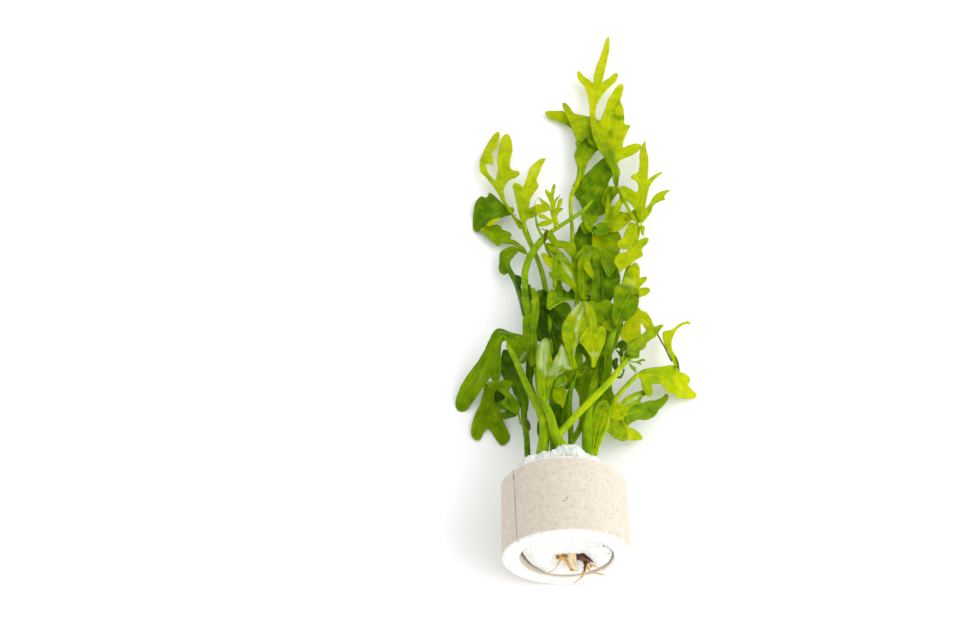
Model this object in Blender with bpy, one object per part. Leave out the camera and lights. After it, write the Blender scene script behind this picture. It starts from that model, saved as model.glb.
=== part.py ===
"""Water sprite potted in a ceramic ring, lying on its side.

The ring lies on its round side with its axis along Y. Its bottom end, with the roots, faces -Y, and the
plant grows out of the other end along +Y and rests with its outer leaves on the surface at z = 0.
The origin is the middle of the footprint of the whole plant and ring.
"""

import math

import bmesh
import bpy
import numpy as np
from mathutils import Vector
from mathutils.geometry import tessellate_polygon

MM = 0.001

# Ceramic ring: a common 35 mm plant ring, the one size that everything else is scaled from
RING_DIAMETER = 35.0
RING_BORE = 25.4
RING_LENGTH = 22.2
RING_SIDES = 64
RING_EDGE = 0.5
RING_RADIUS = RING_DIAMETER / 2

# Gap between two pieces that touch
TOUCH = 0.3

# Foam packing: pressed into the ring, short of its bottom end, and swelling out of its plant end
FOAM_RADIUS = RING_BORE / 2 - TOUCH
FOAM_RECESS = 2.2
FOAM_SWELL_RADIUS = 13.9
FOAM_SWELL_END = RING_LENGTH + 4.8
FOAM_FACE_RADIUS = 11.4
FOAM_SIDES = 32

# Stalks
STALK_BEVEL_RESOLUTION = 2
STALK_POINTS_PER_SPAN = 3
STALK_STRAIGHT_SHARE = 0.4

# Blades
BLADE_THICKNESS = 0.5

# How the picture was taken, in picture pixels and in mm from the point under the ring's bottom face
PICTURE_CENTRE = (480.0, 320.0)
PICTURE_FOCAL = 1200.0
PICTURE_TILT = math.radians(54.6)
PICTURE_EYE = np.array([-23.35, -134.84, 318.6])


def seen_at(across, down, height):
    """Point in mm that the picture shows at pixel (across, down) and that lies at this height in mm.

    The line of sight through the pixel leaves the eye, tilted down by PICTURE_TILT, and is followed
    until it has sunk to the height.
    """
    right = np.array([1.0, 0.0, 0.0])
    forward = np.array([0.0, math.cos(PICTURE_TILT), -math.sin(PICTURE_TILT)])
    up = np.cross(right, forward)
    aside = (across - PICTURE_CENTRE[0]) / PICTURE_FOCAL
    below = (down - PICTURE_CENTRE[1]) / PICTURE_FOCAL
    sight = forward + aside * right - below * up
    reach = (height - PICTURE_EYE[2]) / sight[2]
    return PICTURE_EYE + reach * sight


def finish(name, colour, roughness):
    """Principled material with the piece's colour and roughness."""
    material = bpy.data.materials.get(name) or bpy.data.materials.new(name)
    material.use_nodes = True
    shader = material.node_tree.nodes["Principled BSDF"]
    shader.inputs["Base Color"].default_value = (*colour, 1.0)
    shader.inputs["Roughness"].default_value = roughness
    shader.inputs["Metallic"].default_value = 0.0
    material.diffuse_color = (*colour, 1.0)
    return material


def ceramic():
    return finish("beige_ceramic", (0.80, 0.73, 0.62), 0.85)


def foam():
    return finish("white_foam", (0.90, 0.91, 0.89), 0.9)


def root_wood():
    return finish("amber_root", (0.33, 0.13, 0.03), 0.6)


def stalk_green():
    return finish("stalk_green", (0.20, 0.35, 0.01), 0.4)


def young_green():
    return finish("young_leaf_green", (0.50, 0.62, 0.01), 0.4)


def leaf_green():
    return finish("leaf_green", (0.25, 0.45, 0.01), 0.4)


def old_green():
    return finish("old_leaf_green", (0.09, 0.22, 0.01), 0.4)


def piece(name, mesh, material):
    """Object in the scene with one material, from a mesh already in metres."""
    mesh.materials.append(material)
    made = bpy.data.objects.new(name, mesh)
    bpy.context.scene.collection.objects.link(made)
    return made


def turned(name, profile, sides, is_tube, material, smooth_angle):
    """Body turned round the ring's axis, from a profile of (radius, distance along the axis) in mm.

    A tube's profile is closed on itself, and a solid's starts and ends on the axis. The lowest facet
    lies flat, so that a round piece rests on a facet and not on an edge.
    """
    mesh = bpy.data.meshes.new(name)
    work = bmesh.new()
    half_facet = math.pi / sides
    angle = -math.pi / 2 + half_facet
    corners = []
    for radius, along in profile:
        reach = radius / math.cos(half_facet)
        place = (reach * math.cos(angle), along, RING_RADIUS + reach * math.sin(angle))
        corners.append(work.verts.new(Vector(place) * MM))
    following = corners[1:] + corners[:1] if is_tube else corners[1:]
    edges = [work.edges.new(pair) for pair in zip(corners, following)]
    bmesh.ops.spin(
        work,
        geom=corners + edges,
        cent=Vector((0.0, 0.0, RING_RADIUS)) * MM,
        axis=(0.0, 1.0, 0.0),
        angle=2 * math.pi,
        steps=sides,
        use_merge=True,
    )
    bmesh.ops.remove_doubles(work, verts=work.verts, dist=0.00001)
    bmesh.ops.recalc_face_normals(work, faces=work.faces)
    work.to_mesh(mesh)
    work.free()
    mesh.shade_smooth()
    mesh.set_sharp_from_angle(angle=math.radians(smooth_angle))
    return piece(name, mesh, material)


def ceramic_ring():
    """Thick-walled tube with small worn edges, open at both ends."""
    bore = RING_BORE / 2
    profile = [
        (bore + RING_EDGE, 0.0),
        (RING_RADIUS - RING_EDGE, 0.0),
        (RING_RADIUS, RING_EDGE),
        (RING_RADIUS, RING_LENGTH - RING_EDGE),
        (RING_RADIUS - RING_EDGE, RING_LENGTH),
        (bore + RING_EDGE, RING_LENGTH),
        (bore, RING_LENGTH - RING_EDGE),
        (bore, RING_EDGE),
    ]
    turned("ceramic_ring", profile, RING_SIDES, True, ceramic(), 30)


def foam_plug():
    """Packing with a flat recessed bottom end and a swollen plant end that laps over the ring's end."""
    lip = RING_LENGTH + TOUCH
    profile = [
        (0.0, FOAM_RECESS),
        (FOAM_RADIUS - 1.0, FOAM_RECESS),
        (FOAM_RADIUS, FOAM_RECESS + 1.0),
        (FOAM_RADIUS, lip),
        (FOAM_SWELL_RADIUS - 0.6, lip),
        (FOAM_SWELL_RADIUS, lip + 1.2),
        (FOAM_SWELL_RADIUS - 0.8, FOAM_SWELL_END - 1.2),
        (FOAM_FACE_RADIUS, FOAM_SWELL_END),
        (0.0, FOAM_SWELL_END),
    ]
    turned("foam_plug", profile, FOAM_SIDES, False, foam(), 40)


def root_tuft():
    """Lumpy root stock on the foam, with tapering roots drawn out of its sides."""
    knot_centre = np.array([1.2, 0.2, 16.2])
    knot_size = np.array([4.0, 1.7, 2.1])
    roots = [
        [(-2.2, -0.2, 14.8), (-4.4, -0.7, 13.0), (-5.8, -0.9, 11.6), (-7.6, -0.8, 10.9)],
        [(-0.9, -0.5, 13.9), (0.8, -0.8, 12.2), (2.4, -0.9, 11.9)],
        [(3.6, -0.8, 13.4), (3.9, -1.3, 11.3), (2.8, -1.5, 9.2), (1.6, -1.4, 7.6)],
        [(4.9, -0.7, 14.0), (6.7, -1.0, 12.5), (8.2, -1.1, 11.2), (10.2, -1.0, 10.6)],
        [(5.4, -0.5, 15.0), (7.4, -0.8, 14.2), (9.2, -0.8, 13.3)],
    ]
    root_width = 0.62
    mesh = bpy.data.meshes.new("root_tuft")
    work = bmesh.new()
    bmesh.ops.create_icosphere(work, subdivisions=2, radius=1.0)
    for vert in work.verts:
        lump = 1.0 + 0.16 * math.sin(5.0 * vert.co.x + 2.0) * math.cos(4.0 * vert.co.z + 3.0 * vert.co.y)
        place = knot_centre + np.array(vert.co) * lump * knot_size
        vert.co = Vector(place) * MM
    for root in roots:
        grow_root(work, [np.array(point) for point in root], root_width)
    bmesh.ops.recalc_face_normals(work, faces=work.faces)
    bmesh.ops.triangulate(work, faces=work.faces)
    work.to_mesh(mesh)
    work.free()
    piece("root_tuft", mesh, root_wood())


def grow_root(work, points, width):
    """Draw the face nearest to the root's first point out along the root, tapering to a blunt tip."""
    start = Vector(points[0]) * MM
    face = min(work.faces, key=lambda each: (each.calc_center_median() - start).length)
    along = points[1] - points[0]
    for index, point in enumerate(points):
        face = bmesh.ops.extrude_discrete_faces(work, faces=[face])["faces"][0]
        ahead = points[min(index + 1, len(points) - 1)] - points[max(index - 1, 0)]
        along = ahead / np.linalg.norm(ahead)
        radius = width * (1.0 - 0.6 * index / (len(points) - 1))
        set_cross_section(face, point, along, radius)


def set_cross_section(face, centre, along, radius):
    """Place the corners of a face evenly on a circle round the centre, square to the direction."""
    normal = Vector(along)
    side = normal.orthogonal().normalized()
    other = normal.cross(side)
    corners = list(face.verts)
    first = corners[0].co - face.calc_center_median()
    start = math.atan2(first.dot(other), first.dot(side))
    turn = 1.0 if face.normal.dot(normal) > 0 else -1.0
    for index, vert in enumerate(corners):
        angle = start + turn * 2 * math.pi * index / len(corners)
        arm = side * math.cos(angle) + other * math.sin(angle)
        vert.co = (Vector(centre) + arm * radius) * MM


def smooth_path(points, per_span):
    """Points on the Catmull-Rom curve through the given points."""
    ends = [2 * points[0] - points[1]] + list(points) + [2 * points[-1] - points[-2]]
    path = []
    for before, start, end, after in zip(ends, ends[1:], ends[2:], ends[3:]):
        for step in range(per_span):
            t = step / per_span
            path.append(
                0.5
                * (
                    2 * start
                    + (end - before) * t
                    + (2 * before - 5 * start + 4 * end - after) * t * t
                    + (3 * start - before - 3 * end + after) * t**3
                )
            )
    path.append(points[-1])
    return path


def stalk(name, route, width_at_start, width_at_end, material=None, crown=None):
    """Tapering round stalk.

    The route is a list of (across, down, height): where the picture shows it, and its height in mm.
    A stalk that grows from the crown starts at (across, height) in mm on the foam's swollen face.
    """
    points = [seen_at(*point) for point in route]
    if crown:
        foot = np.array([crown[0], FOAM_SWELL_END + TOUCH, crown[1]])
        straight_out = np.array([0.0, STALK_STRAIGHT_SHARE * (points[0][1] - foot[1]), 0.0])
        points = [foot, foot + straight_out] + points
    path = smooth_path(points, STALK_POINTS_PER_SPAN)
    curve = bpy.data.curves.new(name, "CURVE")
    curve.dimensions = "3D"
    curve.bevel_depth = 0.5 * width_at_start * MM
    curve.bevel_resolution = STALK_BEVEL_RESOLUTION
    curve.use_fill_caps = True
    line = curve.splines.new("POLY")
    line.points.add(len(path) - 1)
    for index, point in enumerate(path):
        part_way = index / (len(path) - 1)
        width = width_at_start + (width_at_end - width_at_start) * part_way
        line.points[index].co = (*(point * MM), 1.0)
        line.points[index].radius = width / width_at_start
    curve.materials.append(material or stalk_green())
    made = bpy.data.objects.new(name, curve)
    bpy.context.scene.collection.objects.link(made)


def rooted_stalk(name, crown, route, width_at_start, width_at_end, material=None):
    """Stalk that grows from the crown."""
    stalk(name, route, width_at_start, width_at_end, material, crown)


def blade(name, outline, rib, heights, material, arch=0.0):
    """Thin leaf blade.

    The outline is where the picture shows the blade's edge. Its rib runs from base to tip, and the
    heights in mm are those of the rib at its two ends. The blade rises by the arch half way along it.
    """
    base = np.array(rib[0], float)
    tip = np.array(rib[1], float)
    length = np.linalg.norm(tip - base)
    along = (tip - base) / length

    def height_at(point):
        part_way = np.dot(np.array(point) - base, along) / length
        held = min(max(part_way, 0.0), 1.0)
        slope = heights[0] + (heights[1] - heights[0]) * part_way
        return slope + 4 * arch * held * (1 - held)

    mesh = bpy.data.meshes.new(name)
    work = bmesh.new()
    verts = [work.verts.new(Vector(seen_at(*point, height_at(point))) * MM) for point in outline]
    plan = [Vector((*point, 0.0)) for point in outline]
    for corners in tessellate_polygon([plan]):
        work.faces.new([verts[index] for index in corners])
    bmesh.ops.recalc_face_normals(work, faces=work.faces)
    work.to_mesh(mesh)
    work.free()
    made = piece(name, mesh, material)
    thick = made.modifiers.new("thickness", "SOLIDIFY")
    thick.thickness = BLADE_THICKNESS * MM
    thick.offset = 0.0


def tall_frond():
    """The longest frond: a stalk from the crown, an antler-like tip and its side blades."""
    rooted_stalk(
        "tall_stalk",
        (6.2, 21.0),
        [(588, 412, 20), (597, 381, 17), (606, 358, 15.5), (612, 335, 14), (616, 318, 12.6),
         (621, 295, 10.4), (628, 268, 7.8), (635, 246, 6.6), (638.6, 232, 6.8), (637, 222.5, 7.1)],
        2.7,
        1.0,
    )
    blade(
        "tall_tip",
        [(634.5, 218.5), (631, 219), (622.5, 207.5), (615.5, 198), (611, 188), (607, 176), (603.8, 164),
         (603.8, 157.6), (598.4, 150.6), (594, 140), (591, 128), (589.7, 117), (589.4, 106.5), (587.5, 95),
         (584.6, 87), (579.5, 81), (577, 74.6), (578.3, 71), (584.5, 76.5), (593.3, 83), (596, 68),
         (599.6, 59), (603.8, 47), (607, 38), (608.8, 36), (609.8, 47), (607.9, 57), (606.3, 67),
         (601.2, 83), (609, 78), (617.5, 73.4), (615.9, 81), (607.6, 89), (602.5, 95), (597.4, 104),
         (595.5, 112), (596.4, 119), (599, 122.5), (603.8, 112), (607.6, 101), (612.7, 92.5), (620.4, 83.6),
         (623.5, 87), (622.3, 94), (620.7, 103), (623.5, 112), (624.8, 122), (629.9, 126), (626, 135),
         (622.3, 148.5), (630.6, 144.7), (638.3, 143.7), (641.5, 146), (640.8, 148.5), (631.9, 155.5),
         (617.9, 162.8), (620.4, 172.7), (618.5, 180), (618.2, 189), (623.5, 200.5), (629.5, 210.5)],
        ((634, 219), (608.6, 35.7)),
        (8.5, 0.3),
        young_green(),
        arch=3.0,
    )
    blade(
        "tall_left_blade",
        [(578, 186), (574.5, 183), (576.7, 174), (576.7, 165), (573.8, 156), (576, 147), (576.4, 139),
         (571.3, 128), (567.4, 124.4), (556, 120), (547.7, 116), (545, 111.6), (562.3, 111.3), (565, 114),
         (562, 105), (563.3, 102.4), (568, 106), (573.8, 113), (580.8, 115), (589.7, 117), (593, 128),
         (597, 143), (597, 152), (592, 157), (587, 164.6), (584.6, 173.6)],
        ((577, 187), (563, 103)),
        (6.5, 2.0),
        young_green(),
        arch=1.0,
    )
    blade(
        "tall_dark_blade",
        [(608, 186), (606, 203), (604, 212), (598.5, 215.6), (591, 217.3), (583, 211), (577, 203),
         (576.5, 193), (581, 186), (585, 175), (592, 165), (601, 158), (602.6, 170)],
        ((607, 184), (580, 204)),
        (6.8, 2.4),
        old_green(),
    )
    blade(
        "tall_low_blade",
        [(631, 219.5), (626, 223), (618, 229.5), (612.5, 231.5), (607.5, 228.5), (603.5, 221), (605, 212),
         (607.5, 193), (611, 190), (612, 197), (612, 205), (621, 211), (628, 214)],
        ((631, 218), (607, 195)),
        (7.2, 2.8),
        leaf_green(),
    )


def right_frond():
    """The fork of the tall frond that leans right, and the blades down its stalk."""
    blade(
        "right_tip",
        [(640.5, 223), (638, 217), (633.5, 209), (627, 200), (622, 192), (621, 186.6), (625.2, 186.4),
         (631.4, 189.1), (637.7, 192.2), (638.6, 186.4), (635.9, 181), (630.5, 178), (635.9, 173.5),
         (638.6, 170.4), (639.5, 156), (641.3, 147.1), (645.6, 139.6), (646, 147), (648.2, 157),
         (648.5, 165), (647.5, 180.5), (652.9, 175.7), (663.1, 172.6), (657.3, 177), (650.2, 185.5),
         (647, 197), (644.8, 209.6), (649.3, 204.3), (654.6, 195.4), (662.7, 190.9), (670.7, 190),
         (664.5, 196.2), (664.9, 199.4), (652.9, 206), (651, 212.3), (643, 222)],
        ((641.5, 222), (645.6, 139.6)),
        (8.2, 1.4),
        young_green(),
        arch=2.4,
    )
    blade(
        "right_middle_blade",
        [(635.5, 227), (637, 232), (637, 238), (634, 243.7), (640.6, 239.2), (646.2, 237.5), (648.4, 238.6),
         (646.7, 243.7), (641.7, 249.8), (642.8, 254.9), (636.6, 259.4), (631, 264.6), (624.3, 268),
         (620.4, 271.9), (617.6, 267.4), (611.4, 261.8), (616, 256), (620, 251.5), (628.5, 249.5),
         (622.6, 245.3), (622.6, 238.6), (624.3, 231.3), (629, 225)],
        ((634, 226), (617, 269)),
        (8.8, 13.6),
        young_green(),
        arch=0.6,
    )
    blade(
        "right_low_blade",
        [(618, 319), (614, 312), (615.5, 300), (616.5, 292), (618, 286), (623, 281), (624.8, 274.2),
         (627, 269.7), (631.6, 265.2), (635.5, 262.7), (638.9, 265.7), (640, 271.9), (640, 277.5),
         (646.2, 277.5), (646.7, 279.2), (642.8, 284.3), (638.9, 288.2), (649.5, 288.7), (649.8, 291),
         (646.2, 294.9), (639.4, 297.7), (638.3, 305.6), (635.5, 312.9), (629.3, 319.1), (622, 321.5)],
        ((619, 319), (635, 264)),
        (15.2, 9.0),
        leaf_green(),
        arch=2.4,
    )
    blade(
        "right_tail",
        [(641.5, 225.5), (643.9, 226), (643.9, 234.1), (643.7, 236.6), (641, 232)],
        ((642, 225.5), (643.6, 236)),
        (8.6, 8.8),
        young_green(),
    )
    blade(
        "centre_left_blade",
        [(631, 246.6), (626, 246.6), (620.5, 249), (614, 258), (606, 258), (599, 249), (593, 245),
         (592.3, 238.6), (594.5, 231.3), (598, 237), (604, 234.5), (612.5, 232.8), (620.4, 238.6),
         (623, 244), (631, 244.6)],
        ((630, 246), (593, 236)),
        (6.4, 3.6),
        leaf_green(),
    )
    blade(
        "centre_dark_blade",
        [(610.8, 300), (604.6, 301.5), (601.3, 303.3), (595.7, 303.9), (592, 301), (592.2, 292),
         (593.5, 280.9), (592.5, 267.4), (592.5, 258.4), (594.5, 250), (597, 249), (604, 259), (611, 264),
         (617, 269.7), (619, 276.4), (618, 283.7), (614.8, 291), (612, 297.7)],
        ((605, 301), (597, 250)),
        (11.6, 8.0),
        old_green(),
        arch=0.6,
    )
    blade(
        "centre_low_blade",
        [(611.2, 325.5), (608, 324), (600.7, 323.5), (597.9, 317.4), (595.5, 308), (601, 304.5), (606, 301),
         (610.3, 303), (612.4, 307), (612.4, 313), (611.8, 322)],
        ((604, 322), (606, 302)),
        (14.4, 14.6),
        leaf_green(),
    )


def pale_frond():
    """Thin pale stalk that runs up the middle and carries the left blade of the tall group."""
    rooted_stalk(
        "pale_stalk",
        (1.6, 14.4),
        [(581, 425, 12), (582, 395, 10), (580, 350, 8), (577, 305, 6.6), (573.4, 262, 5.6), (572, 229, 5.0),
         (570.2, 209, 5.0), (571.3, 197, 5.6), (575, 188.5, 6.4)],
        1.7,
        0.9,
    )
    blade(
        "pale_top_blade",
        [(589, 296), (586, 301), (580.5, 302.5), (579, 299), (576.8, 281), (576, 267.4), (576.8, 258.4),
         (579, 254.5), (583.3, 246.7), (584.4, 257), (590, 255), (590.2, 267.4), (591, 279), (590, 288)],
        ((580, 302), (583, 248)),
        (8.2, 10.4),
        leaf_green(),
    )
    blade(
        "pale_side_blade",
        [(577.2, 247.5), (575.5, 240), (576, 234), (580.5, 225.5), (582.8, 226), (586.1, 232.5),
         (591.5, 235), (591, 239.7), (583.3, 244.8)],
        ((577, 247), (583, 227)),
        (4.6, 3.4),
        old_green(),
    )
    blade(
        "pale_small_blade",
        [(585, 214.6), (588.6, 217.5), (592.3, 221.8), (593.4, 226.8), (591.2, 231.9), (586.1, 232),
         (584, 228.5), (582.3, 222.9)],
        ((584, 218), (588, 231)),
        (9.0, 8.0),
        leaf_green(),
    )
    blade(
        "pale_round_blade",
        [(595.7, 225.7), (601.3, 222.9), (606.3, 224.6), (608, 228.5), (604, 232), (598.5, 231.5)],
        ((596, 227), (608, 228)),
        (8.4, 7.6),
        leaf_green(),
    )


def curved_frond():
    """Thick stalk that bends left and then over to the right in a wide bow."""
    rooted_stalk(
        "curved_stalk",
        (-6.0, 15.6),
        [(546, 425, 14.6), (541, 395, 13), (535, 350, 11.8), (528.5, 312, 10.6), (525.3, 288, 10),
         (524.6, 270, 9.6), (530, 255, 9.4), (539.6, 243, 9.2), (549, 233, 9), (558, 227, 8.8),
         (570, 219, 8.6), (583, 210.5, 8), (592, 201, 7.2)],
        2.0,
        1.0,
    )
    blade(
        "tall_narrow_blade",
        [(533.5, 367), (531, 367), (530.6, 355), (527, 341), (523, 332), (523, 321), (524.4, 316),
         (529.3, 314), (532, 307), (531.6, 296), (532.1, 289), (536, 291), (538.4, 297.4), (539.5, 307),
         (538, 320), (535.5, 333), (536, 345), (536, 358)],
        ((532, 366), (534, 289)),
        (13.5, 12.8),
        leaf_green(),
    )
    blade(
        "bow_blade",
        [(573.4, 289), (571.5, 292), (565, 284), (556, 278), (549.6, 274), (551, 269), (542.6, 254),
         (548, 257), (554, 262), (556, 254), (560, 253), (568, 257), (573, 264), (574, 272)],
        ((573, 290), (545, 256)),
        (7.2, 9.0),
        leaf_green(),
    )
    blade(
        "bow_narrow_blade",
        [(555.4, 288.5), (552.6, 270), (553.5, 260), (557, 251.5), (559.8, 256), (558.5, 268),
         (557.2, 287)],
        ((556, 288), (557, 252)),
        (12.8, 12.4),
        leaf_green(),
    )


def left_fronds():
    """The stalk that leans left over the gap and its forked tips."""
    rooted_stalk(
        "left_stalk",
        (-2.4, 18.2),
        [(552.5, 425, 11.6), (552, 390, 9.6), (551, 350, 8.6), (548.5, 310, 7.6), (543.5, 277, 6.8),
         (537, 258, 6.2), (530.6, 246, 5.9), (524.8, 231.5, 6.4)],
        1.8,
        1.2,
    )
    blade(
        "left_far_blade",
        [(521, 227.5), (515, 219), (508, 210), (503, 202), (500.8, 198), (495, 189), (485.5, 177),
         (480.4, 171), (480.4, 159.5), (484, 151), (490, 140), (497.6, 131.8), (499.5, 134), (498.9, 140),
         (495.5, 149), (492, 154), (493.4, 162), (492.8, 165), (486, 164), (487.4, 171), (495.7, 181),
         (498.3, 171), (497.6, 158), (500.8, 141), (505, 135), (507.8, 133.5), (511, 139), (512.6, 149),
         (510.4, 168), (515.5, 171.5), (519.6, 174), (516, 177.5), (509.7, 180), (504, 189), (504.6, 196.5),
         (509.7, 207), (517, 217), (524, 225)],
        ((522, 226), (502, 134)),
        (5.4, 0.45),
        young_green(),
        arch=2.0,
    )
    blade(
        "left_near_blade",
        [(528.5, 231), (523.5, 221.5), (520, 216), (516, 200), (513, 186), (514, 183), (518, 183.5),
         (523, 187.6), (527, 177), (529.5, 169), (536.5, 161.5), (543, 158), (546, 159), (542, 166),
         (539, 174), (536.5, 181), (538.4, 186), (532.7, 194.6), (529, 205), (529.5, 216), (532, 226)],
        ((529, 229), (540, 160)),
        (8.2, 2.4),
        young_green(),
        arch=1.6,
    )
    blade(
        "left_dark_blade",
        [(511.5, 215.5), (498, 218), (490, 222.5), (484, 227), (478, 222), (474, 211), (480, 199),
         (486, 197.5), (489, 193.5), (498, 199.5), (503, 204.5)],
        ((511, 214), (477, 214)),
        (4.8, 1.4),
        old_green(),
    )
    blade(
        "left_olive_blade",
        [(528.5, 255.5), (522, 253), (516, 255), (510.5, 262), (511, 268), (505, 274), (499.5, 273),
         (499, 262), (500, 252), (501, 244), (507, 239.5), (515, 242.5), (522, 249), (527, 252)],
        ((528, 254), (501, 266)),
        (5.6, 3.2),
        old_green(),
    )
    blade(
        "left_low_blade",
        [(513, 239), (503, 240), (494, 238.5), (486, 234), (481, 228), (492, 224.5), (503, 226),
         (512, 231)],
        ((513, 235), (482, 229)),
        (2.2, 0.8),
        old_green(),
    )
    stalk(
        "olive_stalk",
        [(505, 269, 4.6), (511, 280, 5.4), (517, 293, 6.6), (522, 307, 8.4), (526.5, 320, 9.6)],
        1.0,
        0.9,
    )
    blade(
        "bow_curled_blade",
        [(573.6, 302.5), (573.6, 300.5), (570, 298), (562, 296), (556, 291), (551, 290), (547, 298),
         (546.5, 304), (549, 309.5), (560, 306), (566, 303.5)],
        ((574, 302), (548, 303)),
        (7.6, 12.4),
        leaf_green(),
    )
    blade(
        "bow_dark_blade",
        [(561, 318), (556.5, 307), (566, 303), (570.5, 309), (573.6, 314), (574.6, 321), (574.6, 324),
         (570, 323.5)],
        ((574.6, 322), (564, 303)),
        (7.4, 7.8),
        old_green(),
    )


def folded_frond():
    """Frond whose blade folds over at its top and hangs down to the surface at the left."""
    rooted_stalk(
        "folded_stalk",
        (-5.6, 23.0),
        [(545, 428, 23.5), (540.5, 411, 21.8), (533, 397, 20), (524, 379, 18), (516, 359, 16.2),
         (508, 345, 14.8)],
        2.5,
        1.0,
    )
    blade(
        "folded_blade",
        [(500, 329), (510, 329.5), (522, 333.5), (527, 338), (529, 345), (529, 352), (527, 360), (523, 364),
         (518, 361), (514, 356), (509, 346), (505, 339), (504, 345), (502, 360), (502, 372), (500, 381),
         (496, 385), (492, 379), (487, 382), (480, 392), (471, 404), (465, 411), (458, 408), (455.5, 403),
         (458, 393), (464, 380), (473, 366), (483, 351), (489, 341), (495, 333)],
        ((515, 331), (460, 408)),
        (15.4, 0.5),
        leaf_green(),
    )
    blade(
        "folded_hanging_blade",
        [(487, 384.5), (494, 387), (499, 393), (500, 400), (500.5, 408), (502, 418), (507, 429), (510, 437),
         (507, 443), (502.5, 445.5), (497, 441), (492, 433), (487.5, 428), (484, 432), (479, 440),
         (474, 439), (471, 432), (473, 420), (476, 412), (480, 404), (483, 393)],
        ((488, 386), (500, 440)),
        (3.0, 0.52),
        leaf_green(),
    )
    rooted_stalk(
        "thin_stalk",
        (-9.6, 13.6),
        [(528.5, 437, 13), (526.6, 418, 11), (526.4, 406, 10)],
        1.3,
        1.1,
    )
    blade(
        "thin_dark_blade",
        [(526.6, 404), (519, 402), (512, 395), (505, 385), (503, 372), (503, 357), (508, 354.5), (514, 362),
         (520, 375), (524, 388), (528, 400)],
        ((526, 402), (506, 358)),
        (10.0, 5.8),
        old_green(),
    )
    blade(
        "thin_green_blade",
        [(523.4, 413), (516, 414), (508, 406), (501, 396), (500, 389), (505, 387), (510, 385.5), (512, 389),
         (513.5, 398), (519, 404)],
        ((522, 411), (503, 388)),
        (11.6, 10.8),
        leaf_green(),
    )
    blade(
        "thin_olive_blade",
        [(523.6, 417.5), (516, 416), (510, 418), (504, 419.5), (499, 418), (500.5, 412), (494, 406.5),
         (502, 404), (510, 408), (517, 412)],
        ((523, 416), (496, 409)),
        (10.2, 6.6),
        old_green(),
    )
    blade(
        "crown_hanging_blade",
        [(538.5, 420.5), (541, 420), (542.6, 427), (543, 436), (541, 444), (538.5, 438), (537, 428)],
        ((540, 420), (541, 443)),
        (20.4, 18.0),
        old_green(),
    )


def broad_frond():
    """Broad two-lobed glossy leaf in the middle, and the small leaf beside it."""
    rooted_stalk(
        "broad_stalk",
        (-1.0, 24.6),
        [(554, 430, 26), (549.6, 414, 25.2), (547.6, 404.5, 24.6)],
        2.3,
        1.6,
    )
    blade(
        "broad_blade",
        [(549.3, 403.4), (545.6, 403.4), (541, 397), (536, 389), (536.6, 364), (536, 353), (540, 343),
         (545.5, 338), (549, 341), (550, 352), (552, 362), (557, 353), (561.5, 343), (567, 357),
         (572.3, 369), (563, 372), (555.7, 378), (550.5, 390)],
        ((547, 402), (552, 342)),
        (24.2, 21.4),
        leaf_green(),
        arch=0.8,
    )
    blade(
        "broad_yellow_blade",
        [(557, 410), (553.2, 410), (553.6, 396), (558, 386), (565, 380), (566.6, 390), (563, 401)],
        ((555, 408), (563, 382)),
        (24.4, 18.0),
        young_green(),
    )
    blade(
        "broad_low_blade",
        [(562, 385.5), (561, 379), (566, 374), (576, 370), (585, 371.5), (577, 377.5), (569, 384)],
        ((563, 383), (584, 372)),
        (16.4, 18.8),
        leaf_green(),
    )


def glossy_frond():
    """Large folded glossy leaf over the middle, on a dark stalk."""
    rooted_stalk(
        "dark_stalk",
        (2.6, 19.6),
        [(576, 425, 18.2), (576.4, 398, 18.8), (577, 376, 20.6)],
        1.5,
        1.3,
        old_green(),
    )
    blade(
        "glossy_blade",
        [(579, 373), (574.5, 371.5), (572.3, 367.6), (568.5, 354), (562, 338), (562, 327), (566, 318),
         (574, 308), (584.4, 301), (590, 305), (594, 311), (596, 318), (597, 329), (602.3, 325.5),
         (606, 331), (604.8, 341.5), (599.7, 354), (595.3, 366), (588, 371)],
        ((578, 372), (586, 302)),
        (21.8, 18.6),
        young_green(),
        arch=2.0,
    )


def diagonal_frond():
    """Yellow-green stalk that crosses the others to the right, with the blades at its end."""
    rooted_stalk(
        "diagonal_stalk",
        (1.6, 23.4),
        [(558.5, 437, 23), (566, 426.5, 22.6), (590, 401.5, 22.2), (609.5, 382, 21.2), (619, 368.5, 19.2),
         (624, 362, 18.4)],
        2.0,
        1.4,
        young_green(),
    )
    blade(
        "diagonal_blade",
        [(627, 361.5), (624.6, 361), (623.6, 358), (624, 352), (630, 344), (638, 338), (646, 331),
         (652, 325.5), (657, 325.5), (663.8, 325.6), (660, 330), (657, 335), (651, 340), (646, 344),
         (645, 348), (639.5, 351.5), (638, 358.5), (632, 358)],
        ((625, 359), (662, 326)),
        (18.4, 9.8),
        leaf_green(),
        arch=0.8,
    )
    blade(
        "yellow_blade",
        [(626, 352), (614.5, 353.5), (616.5, 347), (621, 338), (626, 325), (632, 312), (638, 306),
         (646, 311), (652, 319), (654, 327), (646, 333), (645.9, 331), (640.8, 323), (641, 337),
         (634, 345)],
        ((616, 352), (641, 308)),
        (14.0, 7.0),
        young_green(),
    )


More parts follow.
